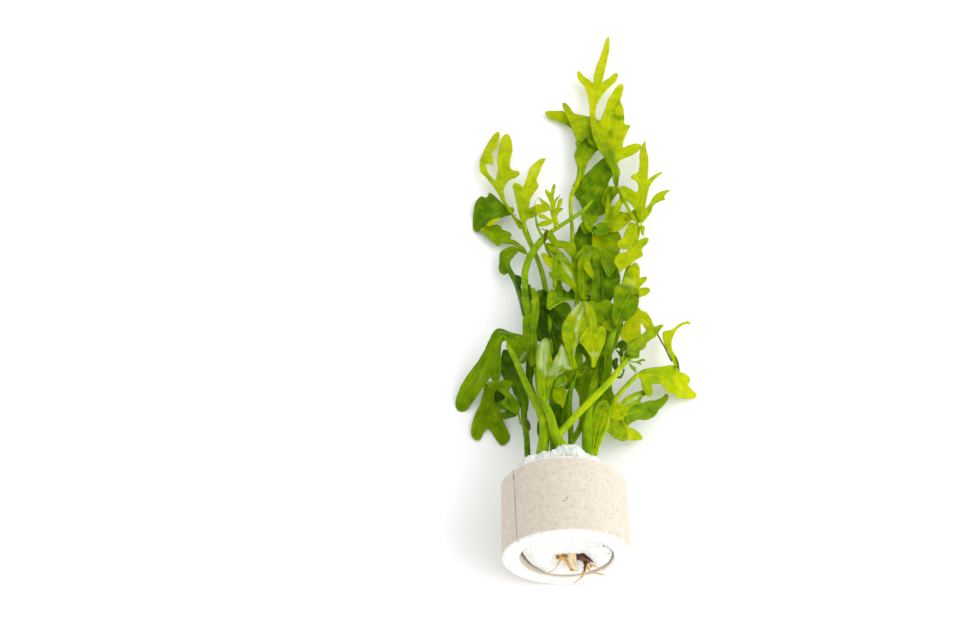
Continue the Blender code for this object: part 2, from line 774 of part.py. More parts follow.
def side_frond():
    """Low frond at the right: a side stalk with the large right leaf and the leaves by the crown."""
    rooted_stalk(
        "side_stalk",
        (9.3, 17.4),
        [(601.5, 430, 17.4), (607, 412, 16.6), (614.7, 399, 15.6), (626, 387, 14), (636.5, 376.5, 12.8)],
        1.7,
        1.0,
    )
    blade(
        "side_large_blade",
        [(638.3, 375), (644.6, 369), (657.4, 367), (672, 365.5), (679, 371.5), (686, 374.4), (690, 379.5),
         (688.3, 385), (693, 390), (696.6, 396), (691, 399), (680.4, 398), (671.4, 394), (665.7, 388),
         (660.6, 384), (652.3, 384), (652.3, 395.5), (648.5, 396), (642.7, 389), (640, 380)],
        ((638.5, 376), (696, 396)),
        (12.4, 0.4),
        young_green(),
        arch=1.2,
    )
    blade(
        "side_hook_blade",
        [(674.5, 365), (670.4, 357), (667, 348), (664, 343), (663, 337), (664, 331.7), (670, 330),
         (674, 328), (679.7, 323.7), (684, 321.5), (690.6, 323.4), (684.8, 324.5), (676.5, 331),
         (672.7, 339), (671.7, 348), (676, 357), (678.6, 368)],
        ((676, 366), (690, 323)),
        (8.4, 4.0),
        young_green(),
    )
    blade(
        "side_ribbed_blade",
        [(593.6, 458), (595, 446), (596.5, 430), (599.5, 412), (605, 402), (609, 402), (610, 410),
         (606.5, 422), (602.5, 435), (600, 446), (598.4, 458)],
        ((596, 458), (607, 403)),
        (22.6, 21.4),
        leaf_green(),
    )
    blade(
        "side_dark_blade",
        [(612, 414.5), (620, 413), (628, 412), (637, 405.5), (646.5, 401), (659, 398.5), (666.9, 394),
         (664, 403), (656, 413), (649.7, 419.5), (639, 419), (630, 420), (620, 418), (612.5, 417.5)],
        ((612, 416), (666, 395)),
        (15.4, 3.4),
        old_green(),
    )
    blade(
        "side_light_blade",
        [(614, 410.5), (619.7, 404.5), (627.4, 395), (643.3, 390), (647.5, 391.5), (642, 399), (634, 403.5),
         (627, 409.5), (622, 411), (614.5, 413)],
        ((614, 411), (646, 391)),
        (17.4, 9.0),
        leaf_green(),
    )
    blade(
        "side_olive_blade",
        [(605.5, 420), (610, 419), (614.6, 419.5), (622, 424), (626.5, 432), (627.4, 438), (622.3, 441),
         (613.4, 437), (607, 431)],
        ((607, 420), (624, 439)),
        (15.4, 8.0),
        old_green(),
    )
    blade(
        "side_yellow_blade",
        [(608.5, 424.5), (616, 423.5), (624, 424.5), (633.8, 427), (640, 433), (642, 438.7), (628.7, 440),
         (620, 434), (612, 429)],
        ((609, 425), (641, 437)),
        (12.6, 2.4),
        young_green(),
    )


def plantlets():
    """Two small ferny plantlets that sprout on the bow of the curved stalk."""
    blade(
        "plantlet_far",
        [(557.5, 224), (554.5, 222), (552, 212), (549, 200), (545.6, 190.5), (549, 193), (552, 198),
         (552, 190), (554.7, 183.5), (555.5, 190), (554.5, 198), (559.6, 195.4), (557, 200), (555.5, 206),
         (558.5, 202), (561.7, 199), (562.5, 204), (560, 208), (564, 208), (561, 211), (557.5, 213),
         (558, 219)],
        ((556, 223), (554, 185)),
        (10.5, 8.6),
        young_green(),
    )
    blade(
        "plantlet_near",
        [(549, 229.5), (544, 227), (538, 226.5), (540, 221), (536, 214), (530, 212), (529.5, 208.5),
         (534, 205), (540, 203.5), (546, 205), (547.5, 209), (545, 212), (552, 218), (551.5, 226)],
        ((549, 228), (538, 206)),
        (10.5, 9.4),
        young_green(),
    )


def centre_on_footprint():
    """Move every piece by one and the same step, so that the footprint's middle is at the origin."""
    bpy.context.view_layer.update()
    graph = bpy.context.evaluated_depsgraph_get()
    low = np.full(3, np.inf)
    high = np.full(3, -np.inf)
    for made in bpy.context.scene.objects:
        shape = made.evaluated_get(graph).to_mesh()
        corners = np.empty(len(shape.vertices) * 3)
        shape.vertices.foreach_get("co", corners)
        corners = corners.reshape(-1, 3)
        low = np.minimum(low, corners.min(axis=0))
        high = np.maximum(high, corners.max(axis=0))
    step = Vector((-(low[0] + high[0]) / 2, -(low[1] + high[1]) / 2, -low[2]))
    for made in bpy.context.scene.objects:
        made.location = step


for old in list(bpy.data.objects):
    bpy.data.objects.remove(old, do_unlink=True)

ceramic_ring()
foam_plug()
root_tuft()
tall_frond()
right_frond()
pale_frond()
curved_frond()
left_fronds()
folded_frond()
broad_frond()
glossy_frond()
diagonal_frond()
side_frond()
plantlets()
centre_on_footprint()
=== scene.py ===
"""Looks of the water sprite in its ceramic ring, lying on a white surface."""

import math

import bpy
import numpy as np
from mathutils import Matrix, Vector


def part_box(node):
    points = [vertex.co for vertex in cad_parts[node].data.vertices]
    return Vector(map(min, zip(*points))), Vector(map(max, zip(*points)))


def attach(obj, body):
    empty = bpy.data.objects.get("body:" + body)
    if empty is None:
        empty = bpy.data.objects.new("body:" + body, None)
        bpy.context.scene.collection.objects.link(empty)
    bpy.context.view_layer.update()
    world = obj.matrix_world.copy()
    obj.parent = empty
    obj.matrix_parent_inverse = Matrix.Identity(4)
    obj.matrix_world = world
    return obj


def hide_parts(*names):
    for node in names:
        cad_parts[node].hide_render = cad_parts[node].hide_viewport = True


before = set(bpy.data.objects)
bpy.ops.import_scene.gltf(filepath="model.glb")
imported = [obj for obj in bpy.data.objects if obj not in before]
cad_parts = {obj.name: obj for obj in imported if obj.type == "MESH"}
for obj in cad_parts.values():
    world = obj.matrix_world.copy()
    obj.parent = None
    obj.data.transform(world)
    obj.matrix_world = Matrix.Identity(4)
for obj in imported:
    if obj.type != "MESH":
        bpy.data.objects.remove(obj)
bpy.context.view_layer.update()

# Camera
# The plant is seen from above its roots, as in the photograph: a 45 mm lens on a 36 mm wide frame.
# Points of the plant are given by the picture pixel that shows them and their height above the surface.
MM = 0.001
PICTURE_CENTRE = np.array([480.0, 320.0])
PICTURE_FOCAL = 1200.0
LENS_MM = 45.0
FRAME_MM = 36.0
TILT = math.radians(54.6)
EYE_FROM_RING = np.array([-23.35, -134.84, 318.6])
ring_low, ring_high = (np.array(corner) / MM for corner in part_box("ceramic_ring"))
ring_middle_x = 0.5 * (ring_low[0] + ring_high[0])
ring_foot = np.array([ring_middle_x, ring_low[1], 0.0])
eye = ring_foot + EYE_FROM_RING

camera_data = bpy.data.cameras.new("camera")
camera_data.lens = LENS_MM
camera_data.sensor_width = FRAME_MM
camera_data.clip_start = 0.01
camera = bpy.data.objects.new("camera", camera_data)
bpy.context.scene.collection.objects.link(camera)
camera.location = eye * MM
camera.rotation_euler = (math.pi / 2 - TILT, 0.0, 0.0)
bpy.context.scene.camera = camera


def seen_at(pixels, heights):
    """Points in mm that the picture shows at the pixels, at the given heights in mm.

    The line of sight through a pixel leaves the eye, tilted down by TILT, and is followed until it has
    sunk to the height.
    """
    forward = np.array([0.0, math.cos(TILT), -math.sin(TILT)])
    up = np.array([0.0, math.sin(TILT), math.cos(TILT)])
    right = np.array([1.0, 0.0, 0.0])
    offset = (np.asarray(pixels, float) - PICTURE_CENTRE) / PICTURE_FOCAL
    sight = forward + offset[..., :1] * right - offset[..., 1:] * up
    reach = (np.asarray(heights, float) - eye[2]) / sight[..., 2]
    return eye + reach[..., None] * sight


# Surface and light
# A white table top that runs out of sight, lit by a bright white room and one large soft lamp at the right.
FLOOR_HALF_SIZE = 1.6
FLOOR_WHITE = (0.96, 0.96, 0.96, 1.0)
ROOM_STRENGTH = 1.0
LAMP_WATTS = 5.0
LAMP_SIZE = 0.9
LAMP_PLACE = (0.62, -0.20, 0.50)
LAMP_AIM = (0.0, 0.0, 0.0)


def new_material(name, values):
    """Material whose Principled shader takes the values: the material, its node tree and the shader."""
    material = bpy.data.materials.new(name)
    material.use_nodes = True
    shader = material.node_tree.nodes["Principled BSDF"]
    for label, value in values.items():
        shader.inputs[label].default_value = value
    return material, material.node_tree, shader


def white_floor():
    """One square face at height zero."""
    half = FLOOR_HALF_SIZE
    corners = [(-half, -half, 0), (half, -half, 0), (half, half, 0), (-half, half, 0)]
    mesh = bpy.data.meshes.new("table_top")
    mesh.from_pydata(corners, [], [(0, 1, 2, 3)])
    floor = bpy.data.objects.new("table_top", mesh)
    bpy.context.scene.collection.objects.link(floor)
    mesh.materials.append(new_material("white_table", {"Base Color": FLOOR_WHITE, "Roughness": 0.7})[0])


def soft_light():
    """White room all round, and the lamp, turned towards the plant."""
    world = bpy.data.worlds.new("white_room")
    world.use_nodes = True
    background = world.node_tree.nodes["Background"]
    background.inputs["Color"].default_value = (1.0, 1.0, 1.0, 1.0)
    background.inputs["Strength"].default_value = ROOM_STRENGTH
    bpy.context.scene.world = world
    lamp_data = bpy.data.lights.new("soft_lamp", "AREA")
    lamp_data.energy = LAMP_WATTS
    lamp_data.size = LAMP_SIZE
    lamp = bpy.data.objects.new("soft_lamp", lamp_data)
    bpy.context.scene.collection.objects.link(lamp)
    place = np.array(LAMP_PLACE)
    aim = np.array(LAMP_AIM) - place
    lamp.location = place
    flat = math.hypot(aim[0], aim[1])
    lamp.rotation_euler = (math.atan2(flat, -aim[2]), 0.0, math.atan2(aim[1], aim[0]) - math.pi / 2)


white_floor()
soft_light()
bpy.context.scene.view_settings.view_transform = "Standard"


# Ceramic ring
# A short thick-walled tube of unglazed beige ceramic with fine tan and brown grit. Its sawn ends are dusty
# white and whitened further by painted light as if lit from the front, with worn, chipped rims, and one
# hairline crack runs down the left of its side.
RING_RADIUS = 0.5 * (ring_high[0] - ring_low[0])
RING_LENGTH = ring_high[1] - ring_low[1]
BORE_RADIUS = 12.7
RIM_ROUND = 0.75
RIM_SWEEPS = 7
RING_TURNS = 560
SKIN_STEP = 0.38
AXIS = np.array([0.0, 1.0, 0.0])
axis_foot = ring_foot + np.array([0.0, 0.0, RING_RADIUS])
UNEVEN_NOISES = [(0.05, 2.2, 11), (0.03, 0.7, 12)]
CHIP_NOISES = [(1.0, 1.5, 13), (0.5, 0.6, 14)]
CHIP_LEVEL = 0.35
CHIP_DEPTH = 0.9
CRACK_PIXELS = [(512.8, 471.0), (513.2, 477.0), (514.6, 492.0), (515.4, 510.0), (516.6, 534.0)]
CRACK_WIDTH = 0.10
CRACK_DEPTH = 0.55
CRACK_WANDER = (0.14, 1.3, 15)
NICK_WIDTH = 0.35
NICK_LENGTH = 0.5
NICK_DEPTH = 0.4


def ramp(values, low, high):
    """Share that rises from 0 where the values are `low` to 1 where they are `high`."""
    return np.clip((values - low) / (high - low), 0, 1)


def bell(distance, width):
    """Bell-shaped share exp(-(distance / width)^2)."""
    return np.exp(-((distance / width) ** 2))


def unit(vectors):
    """Vectors of length one that point the same ways."""
    return vectors / np.maximum(np.linalg.norm(vectors, axis=-1, keepdims=True), 1e-9)


def lattice_noise(points, size, seed):
    """Smooth noise from -1 to 1.

    Random numbers stand on a cubic lattice, `size` apart, and each point blends the eight round it by
    smoothstep weights of its place in its cell.
    """
    cells = 32
    lattice = np.random.default_rng(seed).uniform(-1, 1, (cells, cells, cells))
    place = np.asarray(points, float) / size
    cell = np.floor(place).astype(int)
    share = place - cell
    share = share * share * (3 - 2 * share)
    total = 0.0
    for corner in np.ndindex(2, 2, 2):
        at = (cell + corner) % cells
        weight = np.prod(np.where(np.array(corner) == 1, share, 1 - share), axis=-1)
        total = total + weight * lattice[at[..., 0], at[..., 1], at[..., 2]]
    return total


def layered_noise(points, layers):
    """Sum of noises, each given by its height and size in mm and its seed."""
    return sum(height * lattice_noise(points, size, seed) for height, size, seed in layers)


def new_piece(name, points, faces, materials, replaced, values, maps=None, face_slots=None):
    """Object from points in mm and four-cornered faces, shaded smooth, riding on the one body.

    `values` holds named numbers for each point, and `maps` a place on the UV map for each point.
    """
    mesh = bpy.data.meshes.new(name)
    mesh.vertices.add(len(points))
    mesh.vertices.foreach_set("co", (np.asarray(points) * MM).astype(np.float32).ravel())
    mesh.loops.add(faces.size)
    mesh.loops.foreach_set("vertex_index", faces.astype(np.int32).ravel())
    mesh.polygons.add(len(faces))
    mesh.polygons.foreach_set("loop_start", np.arange(0, faces.size, 4, dtype=np.int32))
    mesh.update(calc_edges=True)
    if maps is not None:
        layer = mesh.uv_layers.new(name="grain")
        layer.data.foreach_set("uv", np.asarray(maps, np.float32)[faces.ravel()].ravel())
    for label, numbers in values.items():
        layer = mesh.attributes.new(label, "FLOAT", "POINT")
        layer.data.foreach_set("value", np.asarray(numbers, np.float32))
    for material in materials:
        mesh.materials.append(material)
    if face_slots is not None:
        mesh.polygons.foreach_set("material_index", np.asarray(face_slots, np.int32))
    mesh.validate()
    mesh.shade_smooth()
    piece = bpy.data.objects.new(name, mesh)
    bpy.context.scene.collection.objects.link(piece)
    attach(piece, "root")
    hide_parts(*replaced)


def grid_faces(rows, columns, open_rows=0, open_columns=0):
    """Faces of a grid of points that closes on itself both ways, or stays open where 1 is given."""
    row, column = np.meshgrid(np.arange(rows - open_rows), np.arange(columns - open_columns), indexing="ij")
    next_row = (row + 1) % rows
    next_column = (column + 1) % columns
    corners = [row * columns + column, row * columns + next_column]
    corners += [next_row * columns + next_column, next_row * columns + column]
    return np.stack(corners, -1).reshape(-1, 4)


def carried_round(pairs, angles):
    """Pairs (out from the axis, along it), turned to every angle: three numbers for each angle and pair."""
    turn = np.stack([np.cos(angles), np.zeros_like(angles), np.sin(angles)], -1)
    return pairs[None, :, :1] * turn[:, None, :] + pairs[None, :, 1:] * AXIS


def rounded_section(inner, outer, length, rounding, spacing):
    """Closed cross-section of the wall, as (out from the axis, along it), with its outward normals.

    Four straight sides joined by quarter circles of the rounding's radius.
    """
    centres = [(outer - rounding, rounding), (outer - rounding, length - rounding)]
    centres += [(inner + rounding, length - rounding), (inner + rounding, rounding)]
    places = []
    normals = []
    for index, centre in enumerate(centres):
        sweep = np.radians(np.linspace(-90, 0, RIM_SWEEPS) + 90 * index)
        turn = np.stack([np.cos(sweep), np.sin(sweep)], -1)
        arc = np.array(centre) + rounding * turn
        following = np.array(centres[(index + 1) % 4]) + rounding * turn[-1]
        steps = max(int(np.linalg.norm(following - arc[-1]) / spacing), 2)
        share = np.arange(1, steps)[:, None] / steps
        places += [arc, arc[-1] + share * (following - arc[-1])]
        normals += [turn, np.repeat(turn[-1:], steps - 1, axis=0)]
    return np.concatenate(places), np.concatenate(normals)


def crack_line():
    """Angle round the ring's axis and distance along it, where the crack's pixels meet the ring's side.

    Each line of sight is followed to the cylinder of the ring's radius.
    """
    pixels = np.array(CRACK_PIXELS)
    centre = np.array([ring_middle_x, 0.0, RING_RADIUS])
    near = seen_at(pixels, np.full(len(pixels), 2 * RING_RADIUS))
    sight = unit(near - eye)
    start = (near - centre)[:, [0, 2]]
    step = sight[:, [0, 2]]
    a = (step**2).sum(1)
    b = 2 * (start * step).sum(1)
    c = (start**2).sum(1) - RING_RADIUS**2
    reach = (-b - np.sqrt(b * b - 4 * a * c)) / (2 * a)
    met = near + reach[:, None] * sight
    angle = np.arctan2(met[:, 2] - RING_RADIUS, met[:, 0] - ring_middle_x)
    order = np.argsort(met[:, 1])
    return angle[order], (met[:, 1] - ring_low[1])[order]


def added(tree, kind, values=None, **settings):
    """New node of the kind in the tree, with its settings, and with the values on its inputs."""
    node = tree.nodes.new("ShaderNode" + kind)
    for setting, value in settings.items():
        setattr(node, setting, value)
    for label, value in (values or {}).items():
        node.inputs[label].default_value = value
    return node


def colour_ramp(tree, first, *others):
    """Colour ramp with the given stops (position, colour), in order."""
    node = added(tree, "ValToRGB")
    stops = node.color_ramp.elements
    for stop, (position, colour) in zip(stops, (first, others[-1])):
        stop.position = position
        stop.color = colour
    for position, colour in others[:-1]:
        stops.new(position).color = colour
    return node


def wire(tree, *rows):
    """Joins the rows' nodes: from a node's output to a node's input."""
    for source, output, target, slot in rows:
        tree.links.new(source.outputs[output], target.inputs[slot])


def ceramic_material():
    """Beige ceramic: pale ground, fine tan and brown grit, whiter sawn ends (dust and painted light from the
    front), darker in the crack.
    """
    material, tree, shader = new_material("beige_ceramic", {"Roughness": 0.88})
    place = added(tree, "TexCoord")
    clouds = added(tree, "TexNoise", {"Scale": 600.0, "Detail": 6.0})
    ground = colour_ramp(tree, (0.3, (0.58, 0.51, 0.42, 1.0)), (0.7, (0.655, 0.595, 0.505, 1.0)))
    grit = added(tree, "TexNoise", {"Scale": 1500.0, "Detail": 3.0})
    grit_share = added(tree, "MapRange", {"From Min": 0.56, "From Max": 0.72, "To Max": 0.55})
    specks = added(tree, "TexNoise", {"Scale": 620.0, "Detail": 2.0})
    speck_share = added(tree, "MapRange", {"From Min": 0.70, "From Max": 0.76, "To Max": 0.7})
    with_grit = added(tree, "MixRGB", {"Color2": (0.40, 0.31, 0.21, 1.0)})
    with_specks = added(tree, "MixRGB", {"Color2": (0.26, 0.15, 0.08, 1.0)})
    # Whiter on the sawn ends and chips: real dust, and on the ends also painted light from the front.
    dust_and_end_light = added(tree, "Attribute", attribute_name="dust_and_end_light")
    with_dust_and_end_light = added(tree, "MixRGB", {"Color2": (0.86, 0.84, 0.80, 1.0)})
    depth = added(tree, "Attribute", attribute_name="crack")
    with_crack = added(tree, "MixRGB", {"Color2": (0.20, 0.09, 0.03, 1.0)})
    bump = added(tree, "Bump", {"Strength": 0.35, "Distance": 0.00012})
    for texture in (clouds, grit, specks):
        wire(tree, (place, "Object", texture, "Vector"))
    wire(
        tree, (clouds, "Fac", ground, "Fac"), (grit, "Fac", grit_share, "Value"),
        (specks, "Fac", speck_share, "Value"), (ground, "Color", with_grit, "Color1"),
        (grit_share, "Result", with_grit, "Fac"), (with_grit, "Color", with_dust_and_end_light, "Color1"),
        (dust_and_end_light, "Fac", with_dust_and_end_light, "Fac"), (with_dust_and_end_light, "Color", with_specks, "Color1"),
        (speck_share, "Result", with_specks, "Fac"), (with_specks, "Color", with_crack, "Color1"),
        (depth, "Fac", with_crack, "Fac"), (with_crack, "Color", shader, "Base Color"),
        (grit, "Fac", bump, "Height"), (bump, "Normal", shader, "Normal"),
    )
    return material


def ceramic_ring():
    """Skin of the ring: the rounded cross-section carried round the axis.

    The skin sinks along its normal by fine unevenness, by chips on the rims where a noise is high, and
    in the crack by a narrow bell-shaped groove round the crack's angle.
    """
    section, normals = rounded_section(BORE_RADIUS, RING_RADIUS, RING_LENGTH, RIM_ROUND, SKIN_STEP)
    crack_angles, crack_along = crack_line()
    spread = np.linspace(-1, 1, RING_TURNS, endpoint=False)
    angles = crack_angles.mean() + math.pi * (0.25 * spread + 0.75 * spread**3)
    reach = carried_round(section, angles)
    outward = carried_round(normals, angles)
    uneven = layered_noise(reach, UNEVEN_NOISES)
    corner = np.clip(1 - np.abs(np.abs(normals[:, 0]) - np.abs(normals[:, 1])), 0, 1)
    chipped = np.clip(layered_noise(reach, CHIP_NOISES) - CHIP_LEVEL, 0, 1)
    on_side = (normals[:, 0] > 0.7)[None, :]
    crack_centre = np.interp(section[:, 1], crack_along, crack_angles)[None, :]
    wander = layered_noise(np.stack([reach[..., 1]] * 3, -1), [CRACK_WANDER])
    aside = (angles[:, None] - crack_centre) * RING_RADIUS + wander
    open_ends = np.interp(section[:, 1], [crack_along[0], crack_along[0] + 1.5], [0.6, 1.0])[None, :]
    crack = bell(aside, CRACK_WIDTH) * on_side * open_ends
    nick = bell(aside, NICK_WIDTH) * bell(section[None, :, 1] - crack_along[-2], NICK_LENGTH) * on_side
    sink = uneven + CHIP_DEPTH * corner[None, :] * chipped + CRACK_DEPTH * crack + NICK_DEPTH * nick
    points = axis_foot + reach - sink[..., None] * outward
    points[..., 2] = np.maximum(points[..., 2], 0.0)
    # Painted light: the sawn ends face the front and are whitened as if lit from there; the chips add real
    # dust.
    on_end = np.clip(np.abs(normals[:, 1]) * 1.3, 0, 1)[None, :]
    chips = np.clip(corner[None, :] * chipped * 3, 0, 1)
    faces = grid_faces(*reach.shape[:2])[:, ::-1]
    new_piece(
        "ring_skin", points.reshape(-1, 3), faces, [ceramic_material()], ["ceramic_ring"],
        {"dust_and_end_light": np.maximum(on_end, chips).ravel(), "crack": np.clip(crack + 0.6 * nick, 0, 1).ravel()},
    )


ceramic_ring()


# Foam plug
# White granular wadding, wet and torn, pressed into the ring round the crown. It sits a little inside the
# ring's bottom end, with grit along its rim, and bulges up out of the plant end in tufts, each given by its
# place across and up from the axis, its spread and its height in mm.
FOAM_RADIUS = BORE_RADIUS - 0.06
FOAM_TURNS = 260
FOAM_STOPS = 150
FOAM_RECESS = 1.9
FOAM_SLUMP = 1.5
FOAM_SHRINK = 0.7
FOAM_LUMPS = [(1.1, 4.5, 21), (0.5, 1.8, 22)]
FOAM_GRAINS = [(0.16, 0.55, 23), (0.10, 0.3, 24)]
FOAM_TUFTS = [(1.0, 10.5, 3.5, 1.9), (-10.5, 7.0, 3.0, 1.0), (-5.0, 11.0, 3.0, 0.6)]
TUFT_RISE = 5.0
FOAM_GAP_SIDE = math.radians(212)
foam_low, foam_high = (np.array(corner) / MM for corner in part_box("foam_plug"))


def foam_material():
    """Wet white wadding: near-white grains, grey-green with painted shade in the hollows of the plant end,
    and dark grit where `grit` is high.
    """
    material, tree, shader = new_material("wet_white_wadding", {"Roughness": 0.45})
    place = added(tree, "TexCoord")
    grains = added(tree, "TexVoronoi", {"Scale": 1700.0})
    tone = colour_ramp(tree, (0.0, (0.95, 0.95, 0.93, 1.0)), (0.8, (0.80, 0.82, 0.79, 1.0)))
    # Wet grey-green wadding with painted shade, strongest in the hollows of the plant end.
    wet_painted_light = added(tree, "Attribute", attribute_name="wet_painted_light")
    with_wet_and_painted_shade = added(tree, "MixRGB", {"Color2": (0.56, 0.62, 0.54, 1.0)})
    specks = added(tree, "TexNoise", {"Scale": 1500.0, "Detail": 1.0})
    grit = added(tree, "Attribute", attribute_name="grit")
    level = added(tree, "Math", operation="ADD")
    speck_share = added(tree, "MapRange", {"From Min": 0.86, "From Max": 0.92})
    with_grit = added(tree, "MixRGB", {"Color2": (0.10, 0.06, 0.04, 1.0)})
    bump = added(tree, "Bump", {"Strength": 0.5, "Distance": 0.0003})
    wire(
        tree, (place, "Object", grains, "Vector"), (place, "Object", specks, "Vector"),
        (grains, "Distance", tone, "Fac"), (tone, "Color", with_wet_and_painted_shade, "Color1"),
        (wet_painted_light, "Fac", with_wet_and_painted_shade, "Fac"), (specks, "Fac", level, 0), (grit, "Fac", level, 1),
        (level, "Value", speck_share, "Value"), (with_wet_and_painted_shade, "Color", with_grit, "Color1"),
        (speck_share, "Result", with_grit, "Fac"), (with_grit, "Color", shader, "Base Color"),
        (grains, "Distance", bump, "Height"), (bump, "Normal", shader, "Normal"),
    )
    return material


def running_length(line):
    """Length of the line from its start to each of its points."""
    return np.concatenate([[0], np.cumsum(np.linalg.norm(np.diff(line, axis=0), axis=1))])


def foam_plug():
    """Skin of the wadding: a section from the bottom end's middle to the plant end's middle, carried round.

    Lumps and grains of noise push it outwards, most on the plant end, where torn tufts stand up. On the
    bottom end its low part has slumped out, and a hollow at the lower left shows where it has shrunk away
    from the ring.
    """
    swell = foam_high[1] - ring_high[1]
    face = 0.5 * (foam_high[0] - foam_low[0])
    corners = np.array([
        (0.02, FOAM_RECESS), (4.0, FOAM_RECESS), (8.0, FOAM_RECESS), (11.4, FOAM_RECESS + 0.15),
        (12.2, FOAM_RECESS + 0.5), (FOAM_RADIUS, FOAM_RECESS + 1.4), (FOAM_RADIUS, 12.0),
        (FOAM_RADIUS, RING_LENGTH + 0.1), (FOAM_RADIUS + 0.7, RING_LENGTH + 0.4),
        (face - 0.3, RING_LENGTH + 0.5 * swell), (face - 1.6, RING_LENGTH + 0.8 * swell),
        (face - 4.0, RING_LENGTH + 0.96 * swell), (4.0, RING_LENGTH + swell), (0.02, RING_LENGTH + swell),
    ])
    lengths = running_length(corners)
    stations = np.linspace(0, lengths[-1], FOAM_STOPS)
    radius = np.interp(stations, lengths, corners[:, 0])
    along = np.interp(stations, lengths, corners[:, 1])
    slope = unit(np.stack([np.gradient(along), -np.gradient(radius)], -1))
    angles = np.linspace(0, 2 * math.pi, FOAM_TURNS, endpoint=False)
    reach = carried_round(np.stack([radius, along], -1), angles)
    outward = carried_round(slope, angles)
    sideways = carried_round(np.array([[1.0, 0.0]]), angles)
    at_plant = ramp(along, RING_LENGTH, RING_LENGTH + 1.5)[None, :]
    at_bottom = ramp(along, FOAM_RECESS + 0.6, FOAM_RECESS)[None, :]
    lumps = layered_noise(reach, FOAM_LUMPS)
    grains = layered_noise(reach, FOAM_GRAINS)
    swelling = at_plant * (lumps + 3.0 * grains) + at_bottom * (0.16 * lumps + grains - 0.05)
    for across, up, spread, height in FOAM_TUFTS:
        aside = ((reach[..., 0] - across) / spread) ** 2 + ((reach[..., 2] - up) / TUFT_RISE) ** 2
        swelling = swelling + at_plant * height * bell(aside, 1)
    shrunk = ramp(np.cos(angles - FOAM_GAP_SIDE)[:, None], 0.8, 1.0)
    shrunk = shrunk * (ramp(radius, 9.0, 12.0) * ramp(along, 9.0, 3.0))[None, :]
    low_part = ramp(reach[..., 2], -4.0, -8.0)
    right_part = ramp(reach[..., 0], 4.5, 8.5) * ramp(reach[..., 2], 8.0, 2.0)
    near_face = ramp(along, FOAM_RECESS + 3.0, FOAM_RECESS + 1.0)[None, :]
    slumped = FOAM_SLUMP * near_face * (1 - 0.5 * shrunk) * np.maximum(low_part, right_part)
    drawn_in = FOAM_SHRINK * shrunk[..., None] * sideways
    points = axis_foot + reach + swelling[..., None] * outward - drawn_in
    points = points + (shrunk * at_bottom - slumped)[..., None] * AXIS
    faces = grid_faces(FOAM_TURNS, FOAM_STOPS, open_columns=1)[:, [0, 3, 2, 1]]
    rim = ramp(radius, 10.4, 12.0)[None, :] * np.clip(np.sin(angles) + 0.35, 0, 1)[:, None]
    grit = at_bottom * (0.62 * rim + 0.13)
    # Painted shade: the wet grey-green is strongest in the hollows between lumps and grains on the plant
    # end.
    wet_painted_light = np.clip(at_plant * (0.6 - 0.7 * lumps - 2.5 * grains), 0, 1)
    new_piece(
        "wadding", points.reshape(-1, 3), faces, [foam_material()], ["foam_plug"],
        {"grit": grit.ravel(), "wet_painted_light": wet_painted_light.ravel()},
    )


foam_plug()


# Root tuft
# The plant's creeping root stock pokes out of the wadding: a brown knot, a cream bud and amber roots, some
# dried to thin threads. A root is given by its route (across and down in the picture, height in mm), its
# two widths in mm and its age.
ROOT_SIDES = 14
ROOT_STEPS = 7
ROOTS = [
    ([563, 556, 15.6, 560, 561, 14.2, 555, 568.6, 12.2, 547.4, 573.7, 11], 0.75, 0.22, 0.15),
    ([560, 555, 16.2, 566, 561, 14.2, 571, 569.6, 12, 577.6, 570.6, 11.9], 1.25, 0.3, 0.2),
    ([557.6, 557.4, 15.4, 560.4, 554.6, 16.2, 565.5, 556, 16], 1, 1.2, 0.62),
    ([586.5, 567, 13.6, 583.7, 571.6, 12, 581.6, 576.7, 10.4, 574.5, 582.9, 8.6], 0.95, 0.3, 0.22),
    ([588, 562.5, 14.8, 594, 565.8, 14, 600, 568.6, 13.4], 0.7, 0.3, 0.25),
    ([586, 565, 14, 590, 570.4, 12.8, 594, 572.7, 12.2, 605.6, 575.2, 11.6], 0.75, 0.1, 0.3),
    ([579, 557, 15.8, 583.6, 561, 14.6, 586, 568, 13], 1.5, 0.7, 0.9),
    ([578, 555.5, 16.4, 586, 556, 16, 593, 562, 14.4], 1.1, 0.45, 1),
    ([582, 558, 16.2, 588, 561, 15.2, 591, 567, 13.6], 1.2, 0.4, 0.85),
    ([570.5, 555, 16.4, 572, 561, 14.8, 575.5, 569.5, 12.6], 2.3, 0.9, -1),
    ([574, 555.5, 16.6, 575, 560, 15.4, 577, 566, 13.8], 1.2, 0.5, -1),
    ([584, 553, 17, 587, 556.6, 16.2, 590.6, 559, 15.6], 0.7, 0.4, 1),
    ([586.6, 562.6, 15, 584.6, 567.6, 13.8, 584.6, 571, 13], 0.8, 0.4, 1),
]
ROOT_STAND_OFF = 0.11
ROOT_KNOTS = (0.22, 0.9)
CAP_STEPS = np.array([0.98, 0.8, 0.45])


def smooth_line(points, per_span):
    """Points on the Catmull-Rom curve through the given points, the same number on each span."""
    points = np.asarray(points, float)
    padded = np.concatenate([[2 * points[0] - points[1]], points, [2 * points[-1] - points[-2]]])
    before, start, end, after = padded[:-3], padded[1:-2], padded[2:-1], padded[3:]
    t = (np.arange(per_span) / per_span)[None, :, None]
    before, start, end, after = (each[:, None, :] for each in (before, start, end, after))
    curve = 2 * start + (end - before) * t + (2 * before - 5 * start + 4 * end - after) * t**2
    curve = 0.5 * (curve + (3 * start - before - 3 * end + after) * t**3)
    return np.concatenate([curve.reshape(-1, points.shape[1]), points[-1:]])


